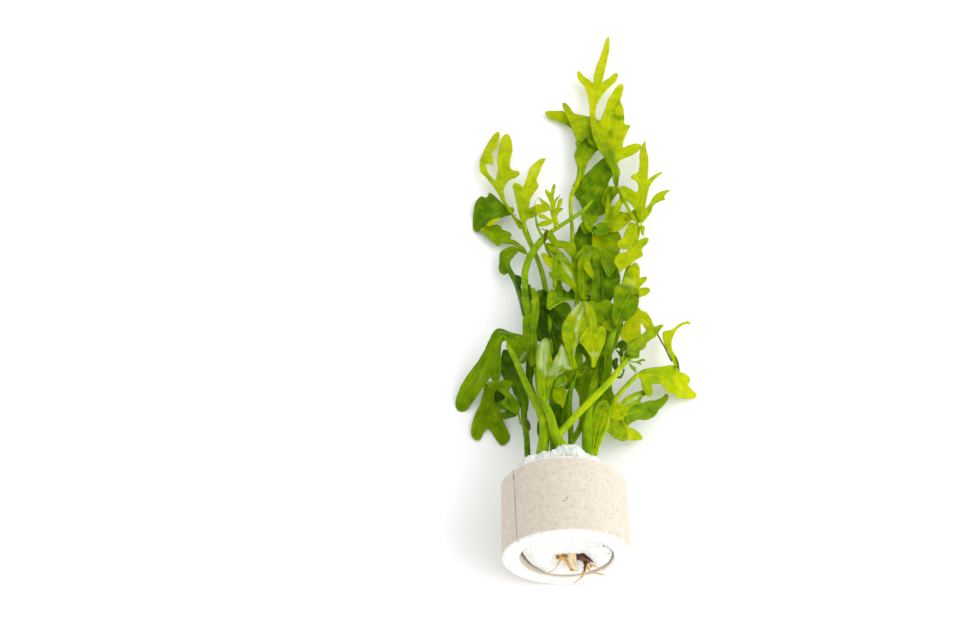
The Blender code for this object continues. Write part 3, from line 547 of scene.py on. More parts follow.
def tube(path, radii, sides, flutes=0, flute_depth=0.0):
    """Closed tube round a path, with round ends: points, faces, and (round, along) of each point in mm.

    Each point of the path carries a circle square to the path, of its radius, which swells and sinks
    `flutes` times round by the flute depth. The radii shrink to nothing at both ends over one radius.
    """
    path = np.asarray(path, float)
    ahead = unit(np.gradient(path, axis=0))
    first, last = radii[0], radii[-1]
    bulge = np.sqrt(1 - CAP_STEPS**2)
    before = path[0] - ahead[0] * first * CAP_STEPS[:, None]
    after = path[-1] + ahead[-1] * last * CAP_STEPS[::-1, None]
    path = np.concatenate([before, path, after])
    radii = np.concatenate([first * bulge, radii, last * bulge[::-1]])
    ahead = np.pad(ahead, ((len(CAP_STEPS),) * 2, (0, 0)), mode="edge")
    side = unit(np.cross(ahead, np.array([0.0, 0.0, 1.0])))
    other = np.cross(side, ahead)
    angles = np.linspace(0, 2 * math.pi, sides, endpoint=False)
    swell = radii[:, None] * (1 + flute_depth * np.cos(flutes * angles)[None, :])
    ring = np.cos(angles)[:, None] * side[:, None, :] + np.sin(angles)[:, None] * other[:, None, :]
    points = path[:, None, :] + swell[..., None] * ring
    around = np.arange(sides // 2 - 1)
    start_cap = np.stack([around + 1, around, sides - 1 - around, sides - 2 - around], -1)
    end_cap = start_cap[:, ::-1] + (len(path) - 1) * sides
    faces = np.concatenate([grid_faces(len(path), sides, open_rows=1), start_cap, end_cap])
    lengths = running_length(path)[:, None]
    maps = np.stack(np.broadcast_arrays(angles[None, :] * radii.max(), lengths), -1)
    return points.reshape(-1, 3), faces[:, ::-1], maps.reshape(-1, 2)


def root_material():
    """Amber root bark, darker and browner where `age` is high and cream where it is below nought."""
    material, tree, shader = new_material("amber_root", {"Roughness": 0.42})
    place = added(tree, "TexCoord")
    bark = added(tree, "TexNoise", {"Scale": 900.0, "Detail": 4.0})
    age = added(tree, "Attribute", attribute_name="age")
    spread = added(tree, "MapRange", {"To Min": -0.22, "To Max": 0.22})
    level = added(tree, "Math", operation="ADD", use_clamp=True)
    tone = colour_ramp(
        tree, (0.0, (0.74, 0.62, 0.38, 1.0)), (0.22, (0.62, 0.34, 0.05, 1.0)),
        (0.5, (0.38, 0.14, 0.015, 1.0)), (1.0, (0.045, 0.010, 0.006, 1.0)),
    )
    bump = added(tree, "Bump", {"Strength": 0.6, "Distance": 0.0003})
    wire(
        tree, (place, "Object", bark, "Vector"), (bark, "Fac", spread, "Value"),
        (spread, "Result", level, 0), (age, "Fac", level, 1), (level, "Value", tone, "Fac"),
        (tone, "Color", shader, "Base Color"), (bark, "Fac", bump, "Height"),
        (bump, "Normal", shader, "Normal"),
    )
    return material


def joined(shapes):
    """One set of arrays from those of several shapes."""
    offsets = np.cumsum([0] + [len(shape["points"]) for shape in shapes])
    kept = [key for key in shapes[0] if key not in ("faces", "slot")]
    out = {key: np.concatenate([shape[key] for shape in shapes]) for key in kept}
    out["faces"] = np.concatenate([shape["faces"] + start for shape, start in zip(shapes, offsets)])
    out["slot"] = np.concatenate([np.full(len(shape["faces"]), shape["slot"]) for shape in shapes])
    return out


def root_tuft():
    """Tubes along the roots' paths, which thin towards their tips and are knotted by noise."""
    shapes = []
    for number, (route, start_width, end_width, age) in enumerate(ROOTS):
        route = np.reshape(route, (-1, 3))
        path = smooth_line(seen_at(route[:, :2], route[:, 2]), ROOT_STEPS)
        path[:, 1] = np.minimum(path[:, 1], ring_foot[1] + FOAM_RECESS - ROOT_STAND_OFF)
        run = np.linspace(0, 1, len(path))
        radii = 0.5 * (start_width + (end_width - start_width) * run)
        points, faces, maps = tube(path, radii, ROOT_SIDES)
        knots = layered_noise(points, [(*ROOT_KNOTS, 31 + number)]) * start_width
        outward = unit(points - path[np.abs(points[:, None] - path).sum(2).argmin(1)])
        ages = np.full(len(points), age)
        shapes.append({"points": points + knots[:, None] * outward, "faces": faces, "age": ages, "slot": 0})
    tuft = joined(shapes)
    new_piece(
        "roots", tuft["points"], tuft["faces"], [root_material()], ["root_tuft"],
        {"age": tuft["age"]},
    )


root_tuft()


# Leaf and stalk tissue
# Live fern tissue: thin, see-through green that is yellow in young tips and dark in old leaves, with fine
# veins that run along each lobe. Stalks are the same tissue, fleshy and ridged.
# Water shine on the leaves is painted into the colour as pale highlight streaks and glints.
MM_PER_PIXEL = 0.34
CELL = 0.62
LOWEST = 0.25
LEAF_THICKNESS = 0.24
FOLD = 0.18
FOLD_REACH = 3.0
EDGE_RAGGED = 0.22
STEM_PIXELS = 5.0
STEM_SWELL = 1.2
MARGIN_ROUND = 0.35
LEAD_SHARE = 0.35
STALK_SIDES = 20
STALK_STEPS = 7
CROWN_GAP = 0.3
CROWN_DEPTH = 3.0
CROWN_STRAIGHT = 0.4
STALK_FLUTES = 6
FLUTE_DEPTH = 0.045
STALK_LUMPS = (0.05, 6.0, 51)
# Painted shade: a thin darker line along each blade's margin.
RIM_SHADE = 0.07
RIM_SHADE_WIDTH = 0.22
RIM_PULL = 0.96
VEIN_RISE = 0.12
VEIN_SPREAD = 3.2
VEIN_AGE = 0.85
VEIN_SIDES = 8


def tissue_group():
    """Node group of the tissue: from age, shine, spots and grain to colours with painted highlights and
    glints, roughness and height.
    """
    tree = bpy.data.node_groups.new("fern_tissue", "ShaderNodeTree")
    for label in ("Age", "Shine", "Spots"):
        tree.interface.new_socket(label, in_out="INPUT", socket_type="NodeSocketFloat")
    for label in ("Grain", "Place"):
        tree.interface.new_socket(label, in_out="INPUT", socket_type="NodeSocketVector")
    for label in ("Colour", "Through"):
        tree.interface.new_socket(label, in_out="OUTPUT", socket_type="NodeSocketColor")
    for label in ("Roughness", "Height"):
        tree.interface.new_socket(label, in_out="OUTPUT", socket_type="NodeSocketFloat")
    given = tree.nodes.new("NodeGroupInput")
    put = tree.nodes.new("NodeGroupOutput")

    stretch = added(tree, "Mapping", {"Scale": (3.4, 0.16, 1.0)})
    veins = added(tree, "TexNoise", {"Scale": 1.0, "Detail": 3.0})
    clouds = added(tree, "TexNoise", {"Scale": 320.0, "Detail": 4.0})
    wire(
        tree, (given, "Grain", stretch, "Vector"), (stretch, "Vector", veins, "Vector"),
        (given, "Place", clouds, "Vector"),
    )

    spread = {"From Min": 0.3, "From Max": 0.7, "To Min": -0.12, "To Max": 0.12}
    vein_part = added(tree, "MapRange", spread)
    cloud_part = added(tree, "MapRange", spread)
    first_sum = added(tree, "Math")
    second_sum = added(tree, "Math", use_clamp=True)
    wire(
        tree, (veins, "Fac", vein_part, "Value"), (clouds, "Fac", cloud_part, "Value"),
        (vein_part, "Result", first_sum, 0), (cloud_part, "Result", first_sum, 1),
        (first_sum, "Value", second_sum, 0), (given, "Age", second_sum, 1),
    )

    tone = colour_ramp(
        tree, (0.0, (0.70, 0.73, 0.0, 1.0)), (0.2, (0.53, 0.62, 0.0, 1.0)), (0.45, (0.27, 0.43, 0.0, 1.0)),
        (0.7, (0.13, 0.28, 0.0, 1.0)), (1.0, (0.038, 0.105, 0.0, 1.0)),
    )
    wire(tree, (second_sum, "Value", tone, "Fac"))

    # Painted highlight: pale streaks of water shine, mixed into the colour where Shine is high.
    painted_highlight_streak = added(tree, "Math", {1: 1.5}, operation="MULTIPLY_ADD")
    painted_highlight_share = added(tree, "MapRange", {"From Min": 1.08, "From Max": 1.55, "To Max": 0.85})
    with_painted_highlight = added(tree, "MixRGB", {"Color2": (0.64, 0.75, 0.40, 1.0)})
    wire(
        tree, (veins, "Fac", painted_highlight_streak, 0), (given, "Shine", painted_highlight_streak, 2),
        (painted_highlight_streak, "Value", painted_highlight_share, "Value"), (painted_highlight_share, "Result", with_painted_highlight, "Fac"),
        (tone, "Color", with_painted_highlight, "Color1"),
    )

    specks = added(tree, "TexNoise", {"Scale": 900.0, "Detail": 1.0})
    speck_range = added(tree, "MapRange", {"From Min": 0.64, "From Max": 0.72})
    speck_share = added(tree, "Math", operation="MULTIPLY")
    all_brown = added(tree, "Math", {1: 1.0}, operation="SUBTRACT")
    brown_share = added(tree, "Math", operation="MAXIMUM", use_clamp=True)
    with_specks = added(tree, "MixRGB", {"Color2": (0.13, 0.07, 0.01, 1.0)})
    # Painted highlights: small pale glints where the speck noise is low.
    glint_share = added(tree, "MapRange", {"From Min": 0.25, "From Max": 0.21, "To Max": 0.5})
    with_glints = added(tree, "MixRGB", {"Color2": (0.70, 0.80, 0.50, 1.0)})
    wire(
        tree, (specks, "Fac", glint_share, "Value"), (glint_share, "Result", with_glints, "Fac"),
        (with_painted_highlight, "Color", with_glints, "Color1"), (given, "Place", specks, "Vector"),
        (specks, "Fac", speck_range, "Value"), (speck_range, "Result", speck_share, 0),
        (given, "Spots", speck_share, 1), (given, "Spots", all_brown, 0),
        (speck_share, "Value", brown_share, 0), (all_brown, "Value", brown_share, 1),
        (brown_share, "Value", with_specks, "Fac"), (with_glints, "Color", with_specks, "Color1"),
        (with_specks, "Color", put, "Colour"),
    )

    through = added(tree, "Gamma", {"Gamma": 0.85})
    wire(tree, (with_specks, "Color", through, "Color"), (through, "Color", put, "Through"))

    gloss = added(tree, "MapRange", {"To Min": 0.24, "To Max": 0.50})
    wire(
        tree, (clouds, "Fac", gloss, "Value"), (gloss, "Result", put, "Roughness"),
        (veins, "Fac", put, "Height"),
    )
    return tree


def tissue_material(name, group, translucency, bump_distance):
    """Principled skin over a see-through body, both coloured by the tissue group."""
    material, tree, shader = new_material(name, {"Specular IOR Level": 0.06})
    tissue = added(tree, "Group", node_tree=group)
    for label in ("Age", "Shine", "Spots"):
        value = added(tree, "Attribute", attribute_name=label.lower())
        wire(tree, (value, "Fac", tissue, label))
    place = added(tree, "TexCoord")
    grain = added(tree, "UVMap", uv_map="grain")
    wire(
        tree, (grain, "UV", tissue, "Grain"), (place, "Object", tissue, "Place"),
        (tissue, "Colour", shader, "Base Color"), (tissue, "Roughness", shader, "Roughness"),
    )
    bump = added(tree, "Bump", {"Strength": 0.5, "Distance": bump_distance})
    wire(tree, (tissue, "Height", bump, "Height"), (bump, "Normal", shader, "Normal"))
    body = added(tree, "BsdfTranslucent")
    wire(tree, (tissue, "Through", body, "Color"))
    mix = added(tree, "MixShader", {"Fac": translucency})
    output = tree.nodes["Material Output"]
    wire(tree, (shader, "BSDF", mix, 1), (body, "BSDF", mix, 2), (mix, "Shader", output, "Surface"))
    return material


fern_tissue = tissue_group()
leaf_tissue = tissue_material("fern_leaf", fern_tissue, 0.42, 0.00025)
stalk_tissue = tissue_material("fern_stalk", fern_tissue, 0.15, 0.00030)


def smooth_outline(corners, per_side=6):
    """Closed curve through an outline's points.

    Each side is a cubic Hermite curve. At a point the curve heads along the line between its two
    neighbours, with the pull of the side's own length, and with none at a sharp point, which stays sharp.
    """
    here = np.asarray(corners, float)
    back = here - np.roll(here, 1, 0)
    onward = np.roll(here, -1, 0) - here
    back_length = np.linalg.norm(back, axis=1)[:, None]
    onward_length = np.linalg.norm(onward, axis=1)[:, None]
    heading = unit(back / back_length + onward / onward_length)
    straightness = (back * onward).sum(1)[:, None] / (back_length * onward_length)
    pull = ramp(straightness, -0.35, 0.25)
    leave = (heading * pull * onward_length)[:, None]
    arrive = np.roll(heading * pull * back_length, -1, 0)[:, None]
    start = here[:, None]
    end = np.roll(here, -1, 0)[:, None]
    t = (np.arange(per_side) / per_side)[None, :, None]
    curve = (2 * t**3 - 3 * t**2 + 1) * start + (t**3 - 2 * t**2 + t) * leave
    curve = curve + (3 * t**2 - 2 * t**3) * end + (t**3 - t**2) * arrive
    return curve.reshape(-1, 2)


def ragged_edge(edge, size, seed):
    """The closed edge, pushed in and out along its normal by two sines of its length with random phases."""
    onward = np.roll(edge, -1, 0) - np.roll(edge, 1, 0)
    normal = unit(np.stack([onward[:, 1], -onward[:, 0]], -1))
    run = np.cumsum(np.linalg.norm(np.roll(edge, -1, 0) - edge, axis=1))
    phases = np.random.default_rng(seed + 500).uniform(0, 2 * math.pi, 2)
    push = np.sin(run / 1.9 + phases[0]) + 0.7 * np.sin(run / 0.9 + phases[1])
    return edge + 0.5 * size * push[:, None] * normal


def reach_to_edge(places, edge):
    """For each place: how far the closed edge is, the edge's nearest point, and whether it lies inside.

    The nearest point is sought on every straight step of the edge, and a place is inside when a line
    drawn from it to the left crosses the edge an odd number of times.
    """
    far, nearest, inside = [], [], []
    start = edge
    step = np.roll(edge, -1, 0) - edge
    step_square = np.maximum((step**2).sum(1), 1e-12)
    for chunk in np.array_split(places, max(len(places) // 3000, 1)):
        away = chunk[:, None] - start
        share = np.clip((away * step).sum(2) / step_square, 0, 1)
        gap = away - share[..., None] * step
        distance = (gap**2).sum(2)
        best = distance.argmin(1)
        rows = np.arange(len(chunk))
        far.append(np.sqrt(distance[rows, best]))
        nearest.append(chunk - gap[rows, best])
        low, high = start[:, 1], start[:, 1] + step[:, 1]
        spans = (low > chunk[:, 1:]) != (high > chunk[:, 1:])
        rise = np.where(np.abs(step[:, 1]) < 1e-9, 1e-9, step[:, 1])
        crossing = start[:, 0] + (chunk[:, 1:] - low) / rise * step[:, 0]
        inside.append((spans & (crossing < chunk[:, :1])).sum(1) % 2 == 1)
    return np.concatenate(far), np.concatenate(nearest), np.concatenate(inside)


def far_from_points(places, points):
    """How far each place is from the nearest of the points."""
    chunks = np.array_split(places, max(len(places) // 3000, 1))
    return np.concatenate([np.sqrt(((chunk[:, None] - points) ** 2).sum(2).min(1)) for chunk in chunks])


def soft_spots(places, spots, ends=1):
    """Sum over soft spots of amount * exp(-(distance / radius)^2) at each place.

    A spot is given by its one or two ends (across, down), a radius and an amount. With two ends it is a
    streak, and the distance is that from the straight line between them.
    """
    total = np.zeros(len(places))
    for spot in np.reshape(spots, (-1, 2 * ends + 2)):
        start, finish, (radius, amount) = spot[:2], spot[-4:-2], spot[-2:]
        run = finish - start
        share = np.clip((places - start) @ run / max(run @ run, 1e-9), 0, 1)
        distance = np.linalg.norm(places - start - share[:, None] * run, axis=1)
        total += amount * bell(distance, radius)
    return total


def blade(outline, foot, end, age, seed, arch=0.0, fold=FOLD, wave=0.25, crinkle=0.0, tip_age=None,
          spots=0.0, veins=(), tints_and_shade=(), wet_painted_light=(), marks=()):
    """Thin leaf blade: points, faces, map and values, with its raised veins.

    The rib runs straight from its foot to its end, each given by across and down in the picture and a
    height in mm. A vein is given by its route, its two widths in mm and, where it is led in from another
    part, the height that it starts at.

    The sheet is a square grid over the picture, CELL pixels apart, of which the cells inside the outline
    are kept, and the grid's rim is drawn out to the outline. Its height is that of the rib, which rises by
    the arch half way, less the fold for each mm away from the margin, plus slow waves. The sheet gets a top
    and an underside, half a thickness to either side, which thins towards the margin on a quarter circle.
    Soft spots add to the age, as tone changes and as painted shade where leaves lie over each other
    (tints_and_shade), to the brown spots (marks), and as streaks of painted highlight where water lies on
    the leaf (wet_painted_light).
    """
    edge = ragged_edge(smooth_outline(np.reshape(outline, (-1, 2))), EDGE_RAGGED, seed)
    base, tip = np.array(foot[:2], float), np.array(end[:2], float)
    length = np.linalg.norm(tip - base)
    along = (tip - base) / length
    chance = np.random.default_rng(seed + 100)
    phases = chance.uniform(0, 2 * math.pi, 4)
    bearing = chance.uniform(0, math.pi)

    def height_at(places, margin):
        """Height in mm of the sheet's middle at picture places that far from the margin."""
        part_way = (places - base) @ along / length
        held = np.clip(part_way, 0, 1)
        level = foot[2] + (end[2] - foot[2]) * part_way + 4 * arch * held * (1 - held)
        first = places @ np.array([math.cos(bearing), math.sin(bearing)])
        second = places @ np.array([-math.sin(bearing), math.cos(bearing)])
        waves = np.sin(first / 5.3 + phases[0]) + 0.7 * np.sin(second / 3.9 + phases[1])
        waves = waves + 0.4 * np.sin(first / 2.4 + phases[2]) * np.sin(second / 2.9 + phases[3])
        fine = np.sin(first / 1.1 + phases[3]) * np.sin(second / 1.3 + phases[2])
        level = level - fold * np.minimum(margin, FOLD_REACH) + wave * waves + crinkle * fine
        return np.maximum(level, LOWEST)

    low = edge.min(0) - 2 * CELL
    high = edge.max(0) + 2 * CELL
    across = np.arange(low[0], high[0] + CELL, CELL)
    down = np.arange(low[1], high[1] + CELL, CELL)
    grid = np.stack(np.meshgrid(across, down, indexing="ij"), -1)
    rows, columns = grid.shape[:2]
    margin, nearest, inside = reach_to_edge(grid.reshape(-1, 2), edge)
    margin = margin * inside * MM_PER_PIXEL
    middles = (grid[:-1, :-1] + grid[1:, 1:]) / 2
    kept = reach_to_edge(middles.reshape(-1, 2), edge)[2].reshape(rows - 1, columns - 1)
    for _ in range(3):
        crossed = kept[:-1, :-1] & kept[1:, 1:] & ~kept[1:, :-1] & ~kept[:-1, 1:]
        kept[1:, :-1] |= crossed
        crossed = kept[1:, :-1] & kept[:-1, 1:] & ~kept[:-1, :-1] & ~kept[1:, 1:]
        kept[:-1, :-1] |= crossed
    padded = np.pad(kept, 1)
    around = padded[:-1, :-1].astype(int) + padded[1:, :-1] + padded[:-1, 1:] + padded[1:, 1:]
    used = (around > 0).ravel()
    rim = used & (around < 4).ravel()
    flat = grid.reshape(-1, 2).copy()
    flat[rim] += RIM_PULL * (nearest[rim] - flat[rim])
    margin = np.where(rim, 0.0, margin)
    level = height_at(flat, margin)
    sheet = seen_at(flat, level)
    square = sheet.reshape(rows, columns, 3)
    normal = unit(np.cross(np.gradient(square, axis=1), np.gradient(square, axis=0)).reshape(-1, 3))
    near_base = bell(np.linalg.norm(flat - base, axis=1), STEM_PIXELS)
    rounding = np.sqrt(1 - (1 - np.clip(margin / MARGIN_ROUND, 0.02, 1)) ** 2)
    half = 0.5 * LEAF_THICKNESS * (1 + STEM_SWELL * near_base) * rounding
    number = np.full(rows * columns, -1)
    number[used] = np.arange(used.sum())
    number = number.reshape(rows, columns)
    total = int(used.sum())
    corner_a, corner_b = number[:-1, :-1], number[1:, :-1]
    corner_c, corner_d = number[1:, 1:], number[:-1, 1:]
    faces = [np.stack([corner_a, corner_d, corner_c, corner_b], -1)[kept]]
    faces.append(np.stack([corner_a, corner_b, corner_c, corner_d], -1)[kept] + total)
    sides = [(corner_a, corner_b, padded[1:-1, :-2]), (corner_b, corner_c, padded[2:, 1:-1])]
    sides += [(corner_c, corner_d, padded[1:-1, 2:]), (corner_d, corner_a, padded[:-2, 1:-1])]
    for first, second, neighbour in sides:
        open_side = kept & ~neighbour
        wall = np.stack([first, second, second + total, first + total], -1)
        faces.append(wall[open_side])
    lift = half[:, None] * normal
    points = np.concatenate([(sheet + lift)[used], (sheet - lift)[used]])
    part_way = (flat - base) @ along / length
    last_age = age if tip_age is None else tip_age

    def age_at(places):
        """Age of the tissue at picture places, even along the rib but for the tints_and_shade, which add
        tone changes and painted shade where leaves overlap.
        """
        part_way = (places - base) @ along / length
        # Painted shade: positive soft spots darken the tissue where leaves lie over each other.
        return age + (last_age - age) * np.clip(part_way, 0, 1) + soft_spots(places, tints_and_shade)

    # Painted shade: darker along the margin.
    ages = age_at(flat) + RIM_SHADE * bell(margin, RIM_SHADE_WIDTH)
    routes = [smooth_line(np.reshape(vein[0], (-1, 2)), 12) for vein in veins]
    routes = routes or [np.linspace(base, tip, 24)]
    to_vein = far_from_points(flat, np.concatenate(routes)) * MM_PER_PIXEL
    from_vein = VEIN_SPREAD * margin / (margin + to_vein + 0.15)
    maps = np.stack([from_vein, part_way * length * MM_PER_PIXEL], -1)[used]
    made = [{
        "points": points,
        "faces": np.concatenate(faces),
        "maps": np.concatenate([maps, maps]),
        "age": np.tile(ages[used], 2),
        "shine": np.tile(soft_spots(flat, wet_painted_light, 2)[used], 2),
        "spots": np.tile(spots + soft_spots(flat, marks)[used], 2),
        "slot": 0,
    }]
    for route, start_width, end_width, *start_height in veins:
        line = smooth_line(np.reshape(route, (-1, 2)), 6)
        far, _, within = reach_to_edge(line, edge)
        level = height_at(line, far * within * MM_PER_PIXEL)
        run = np.linspace(0, 1, len(line))
        if start_height:
            level = level + (start_height[0] - level[0]) * np.clip(1 - run / LEAD_SHARE, 0, 1) ** 2
        widths = start_width + (end_width - start_width) * run
        path = seen_at(line, level + VEIN_RISE)
        points, faces, maps = tube(path, widths / 2, VEIN_SIDES)
        count = len(points)
        made.append({
            "points": points, "faces": faces, "maps": maps,
            "age": VEIN_AGE * np.repeat(np.pad(age_at(line), len(CAP_STEPS), mode="edge"), VEIN_SIDES),
            "shine": np.zeros(count), "spots": np.zeros(count), "slot": 1,
        })
    return made


def stalk(route, age, crown=None, crown_width=2.0, tip_age=None, spots=0.0):
    """Tapering ridged stalk, as one shape in a list.

    The route holds four numbers a point: across and down, the pixel that shows it, and in mm its height and
    the stalk's width. A stalk with a crown place (across, height) in mm starts inside the wadding there.
    """
    route = np.reshape(route, (-1, 4))
    points = np.column_stack([seen_at(route[:, :2], route[:, 2]), route[:, 3]])
    if crown:
        foot = np.array([ring_foot[0] + crown[0], foam_high[1] + CROWN_GAP, crown[1], crown_width])
        straight_out = np.array([0.0, CROWN_STRAIGHT * (points[0][1] - foot[1]), 0.0, 0.0])
        inside = np.array([0.0, CROWN_DEPTH, 0.0, 0.0])
        points = np.concatenate([[foot - inside, foot, foot + straight_out], points])
    line = smooth_line(points, STALK_STEPS)
    path = line[:, :3]
    uneven = 1 + layered_noise(path, [STALK_LUMPS])
    points, faces, maps = tube(path, 0.5 * line[:, 3] * uneven, STALK_SIDES, STALK_FLUTES, FLUTE_DEPTH)
    last_age = age if tip_age is None else tip_age
    rings = len(points) // STALK_SIDES
    ages = np.repeat(age + (last_age - age) * np.linspace(0, 1, rings), STALK_SIDES)
    count = len(points)
    return [{
        "points": points, "faces": faces, "maps": maps, "age": ages,
        "shine": np.zeros(count), "spots": np.full(count, spots), "slot": 1,
    }]


def frond(name, shapes, replaced):
    """Piece made of several blades and stalks that grew together."""
    grown = joined(sum(shapes, []))
    values = {label: grown[label] for label in ("age", "shine", "spots")}
    new_piece(
        name, grown["points"], grown["faces"], [leaf_tissue, stalk_tissue], replaced, values,
        maps=grown["maps"], face_slots=grown["slot"],
    )


# Tall frond
# The longest frond: a ridged stalk from the crown that forks near its top into an antler-shaped tip and its
# side blades, all grown as one. Older, darker leaflets are crumpled under its fork.
frond("tall_frond", [
    stalk([
        588.6, 412, 20, 2.9, 596, 381, 17, 2.6, 605.5, 358, 15.5, 2.5, 612, 335, 14, 2.2,
        616, 318, 12.6, 1.9, 621, 295, 10.4, 1.5, 628, 268, 7.8, 1.3, 635, 246, 6.6, 1.1, 638.6, 232, 6.8, 1,
        637, 222.5, 7.1, 1
    ], 0.66, crown=(7.1, 21), tip_age=0.38, crown_width=3),
    blade([
        634.8, 218.5, 633, 219.3, 628.5, 212.5, 624, 204, 620.5, 197, 617, 191, 615, 187, 613, 181,
        612.8, 176, 611, 170, 607, 163.5, 603.8, 157.6, 600, 152, 594, 140, 591, 128, 589.7, 117,
        589.4, 106.5, 587.5, 95, 584.6, 87, 579.5, 81, 577, 75.5, 577, 72.5, 578.8, 71, 584.5, 76.5,
        593.3, 83, 594, 76, 596, 68, 599.6, 59, 603.8, 47, 607, 38, 608.8, 36, 609.8, 47, 607.9, 57,
        605.5, 68, 601.8, 83, 609, 78, 616, 73, 618, 74, 615.9, 81, 607.6, 89, 602.5, 95, 597.4, 104,
        595.5, 112, 596.4, 119, 599, 122.5, 603.8, 112, 607.6, 101, 612.7, 92.5, 619, 84.5, 622, 84,
        623.7, 87, 622.3, 94, 620.7, 101, 623.3, 108, 624.3, 117, 625, 124, 630.2, 125.3, 627, 133,
        623.5, 141, 622.3, 148.5, 630.6, 144.7, 638.3, 143.7, 641.3, 145.5, 640.5, 148.5, 631.9, 155.5,
        617.9, 162.8, 620.3, 172.7, 618.7, 180, 618.7, 188, 623.5, 197, 629.5, 208
    ], (634, 219, 8.5), (608.6, 35.7, 0.3), 0.25, 2, arch=3, tip_age=0.05, tints_and_shade=[
        618.4, 102.5, 2.2, 0.3, 615.6, 106, 2, 0.26, 614, 110.5, 2, 0.3, 614.2, 116, 2.4, 0.3,
        618, 118.6, 2.4, 0.32, 622.6, 117.6, 2, 0.3, 609.8, 133, 2.6, 0.3, 612, 136.5, 2.6, 0.16,
        594, 130, 6, 0.16, 597, 137, 6, 0.12, 603, 143, 8, 0.2, 608, 158, 8, 0.34, 612, 170, 7, 0.24,
        617, 184, 8, 0.34, 622, 198, 7, 0.26, 613, 115, 8, 0.1, 609, 152, 5, 0.14, 614, 164, 5, 0.16,
        616, 178, 5, 0.16, 618, 191, 5, 0.14
    ], veins=[
        ([637, 222.5, 631, 213, 621, 195, 615.5, 182, 611, 165, 603, 148, 597, 130, 593, 114, 593.5, 100,
          597, 84, 601, 66, 606, 46], 0.6, 0.12, 7.1),
        ([608, 160, 614, 140, 613, 120, 617, 100, 621, 88], 0.35, 0.1),
        ([613, 168, 624, 156, 638, 147], 0.35, 0.1), ([593.5, 98, 587, 84, 579.5, 74], 0.3, 0.1),
        ([596, 92, 606, 82, 615, 76], 0.3, 0.1)
    ]),
    blade([
        562.3, 104, 563, 102.6, 565.3, 102.8, 570, 107.5, 574, 113, 581, 115, 589.7, 116.8, 596, 118.5,
        601, 123, 606, 130, 608, 140, 606, 148, 600, 149.8, 594, 146.5, 589, 143.5, 586.3, 138.5, 581, 142,
        576.8, 140.5, 575, 136, 571, 127, 567, 118, 563.8, 110
    ], (606, 146, 6.6), (563, 104, 2.4), 0.46, 3, arch=0.8, tip_age=0.2, tints_and_shade=[
        590, 138, 8, 0.12, 582, 128, 6, -0.06, 602, 147, 5, 0.15
    ], veins=[([604, 146, 594, 134, 582, 125, 572, 114, 565, 105], 0.45, 0.1)]),
    blade([
        545, 112, 549, 110.8, 557, 111, 564, 111.6, 568, 117, 571, 124, 571, 128.3, 567.5, 125.7, 562, 123.4,
        556, 120.6, 549, 118.3, 546, 115
    ], (571, 127, 2.6), (546, 113, 1.6), 0.42, 4, tip_age=0.18, veins=[
        ([570, 125, 560, 117.5, 549, 114], 0.35, 0.1)
    ]),
    blade([
        576, 141.5, 575.2, 143.5, 576.7, 147, 574, 155.5, 576.7, 165, 577, 174, 575, 181, 572.5, 187,
        573, 190.5, 576.5, 189.5, 580, 182, 584.3, 175.5, 585, 171.5, 588, 163, 592, 157, 597.5, 150.7,
        602, 150, 604, 145, 600, 137, 590, 132, 581, 132, 578, 136
    ], (577, 187, 6.3), (598, 140, 4.8), 0.42, 5, arch=0.3, tip_age=0.4, tints_and_shade=[
        584, 145, 6, 0.3, 580, 186, 6, -0.1, 598, 146, 6, 0.1
    ], veins=[([574, 192, 577.5, 184, 580, 172, 582, 158, 585, 146, 590, 139], 0.75, 0.2, 5.9)]),
    blade([
        604, 158.3, 607, 163, 611, 169, 613, 175, 610.5, 179, 608.5, 185.5, 612, 188.5, 609.5, 194, 608, 203,
        606, 212, 600, 215.8, 592, 217.3, 585, 213.3, 581.5, 206, 579, 201, 576.3, 198.5, 574.3, 192,
        577, 185, 582, 178.5, 588, 172, 594, 166, 600, 160.5
    ], (607, 164, 5.4), (585, 212, 3.2), 0.6, 6, tip_age=0.62, crinkle=0.12, wave=0.5, tints_and_shade=[
        604, 176, 5, -0.2, 601, 183, 3.5, 0.2, 594, 171, 6, -0.12, 598, 190, 5, -0.25, 588, 180, 4, 0.15,
        584, 186, 4, -0.12, 601, 199, 4, 0.22, 592, 207, 6, 0.2, 583, 193, 3, 0.25, 606, 194, 4, -0.15,
        608, 170, 5, 0.1
    ], veins=[
        ([608, 168, 603, 178, 597, 192, 590, 208], 0.3, 0.1), ([606, 168, 596, 175, 582, 186], 0.2, 0.1),
        ([601, 182, 590, 189, 581, 200], 0.2, 0.1), ([604, 176, 605, 192, 601, 210], 0.2, 0.1),
        ([598, 190, 590, 199, 584, 210], 0.2, 0.1)
    ]),
    blade([
        632.5, 216.5, 631, 221, 627.5, 224, 619, 230.5, 612.5, 232.5, 606.5, 230.5, 603.8, 221, 605.2, 212,
        605.8, 203, 606.3, 193, 608.5, 188.5, 612.8, 187.8, 611.5, 194, 610.2, 203.6, 613.5, 206, 618, 210,
        621.5, 211.8, 628, 213
    ], (631, 218, 7.2), (607, 195, 4.8), 0.2, 7, tip_age=0.3, tints_and_shade=[
        608, 192, 5, 0.1, 610, 222, 6, 0.14, 611, 229, 3, 0.2
    ], marks=[625.6, 219.6, 1.5, 2.2, 627, 221.6, 1, 1.6, 609.2, 229.4, 1.6, 2, 611.6, 231, 1.2, 1.8],
    veins=[
        ([636, 221, 629, 217, 618, 212.5, 610.5, 204, 608, 195], 0.5, 0.12, 7),
        ([625, 216, 616, 219, 609, 222], 0.35, 0.1)
    ]),
], ["tall_stalk", "tall_tip", "tall_left_blade", "tall_dark_blade", "tall_low_blade"])
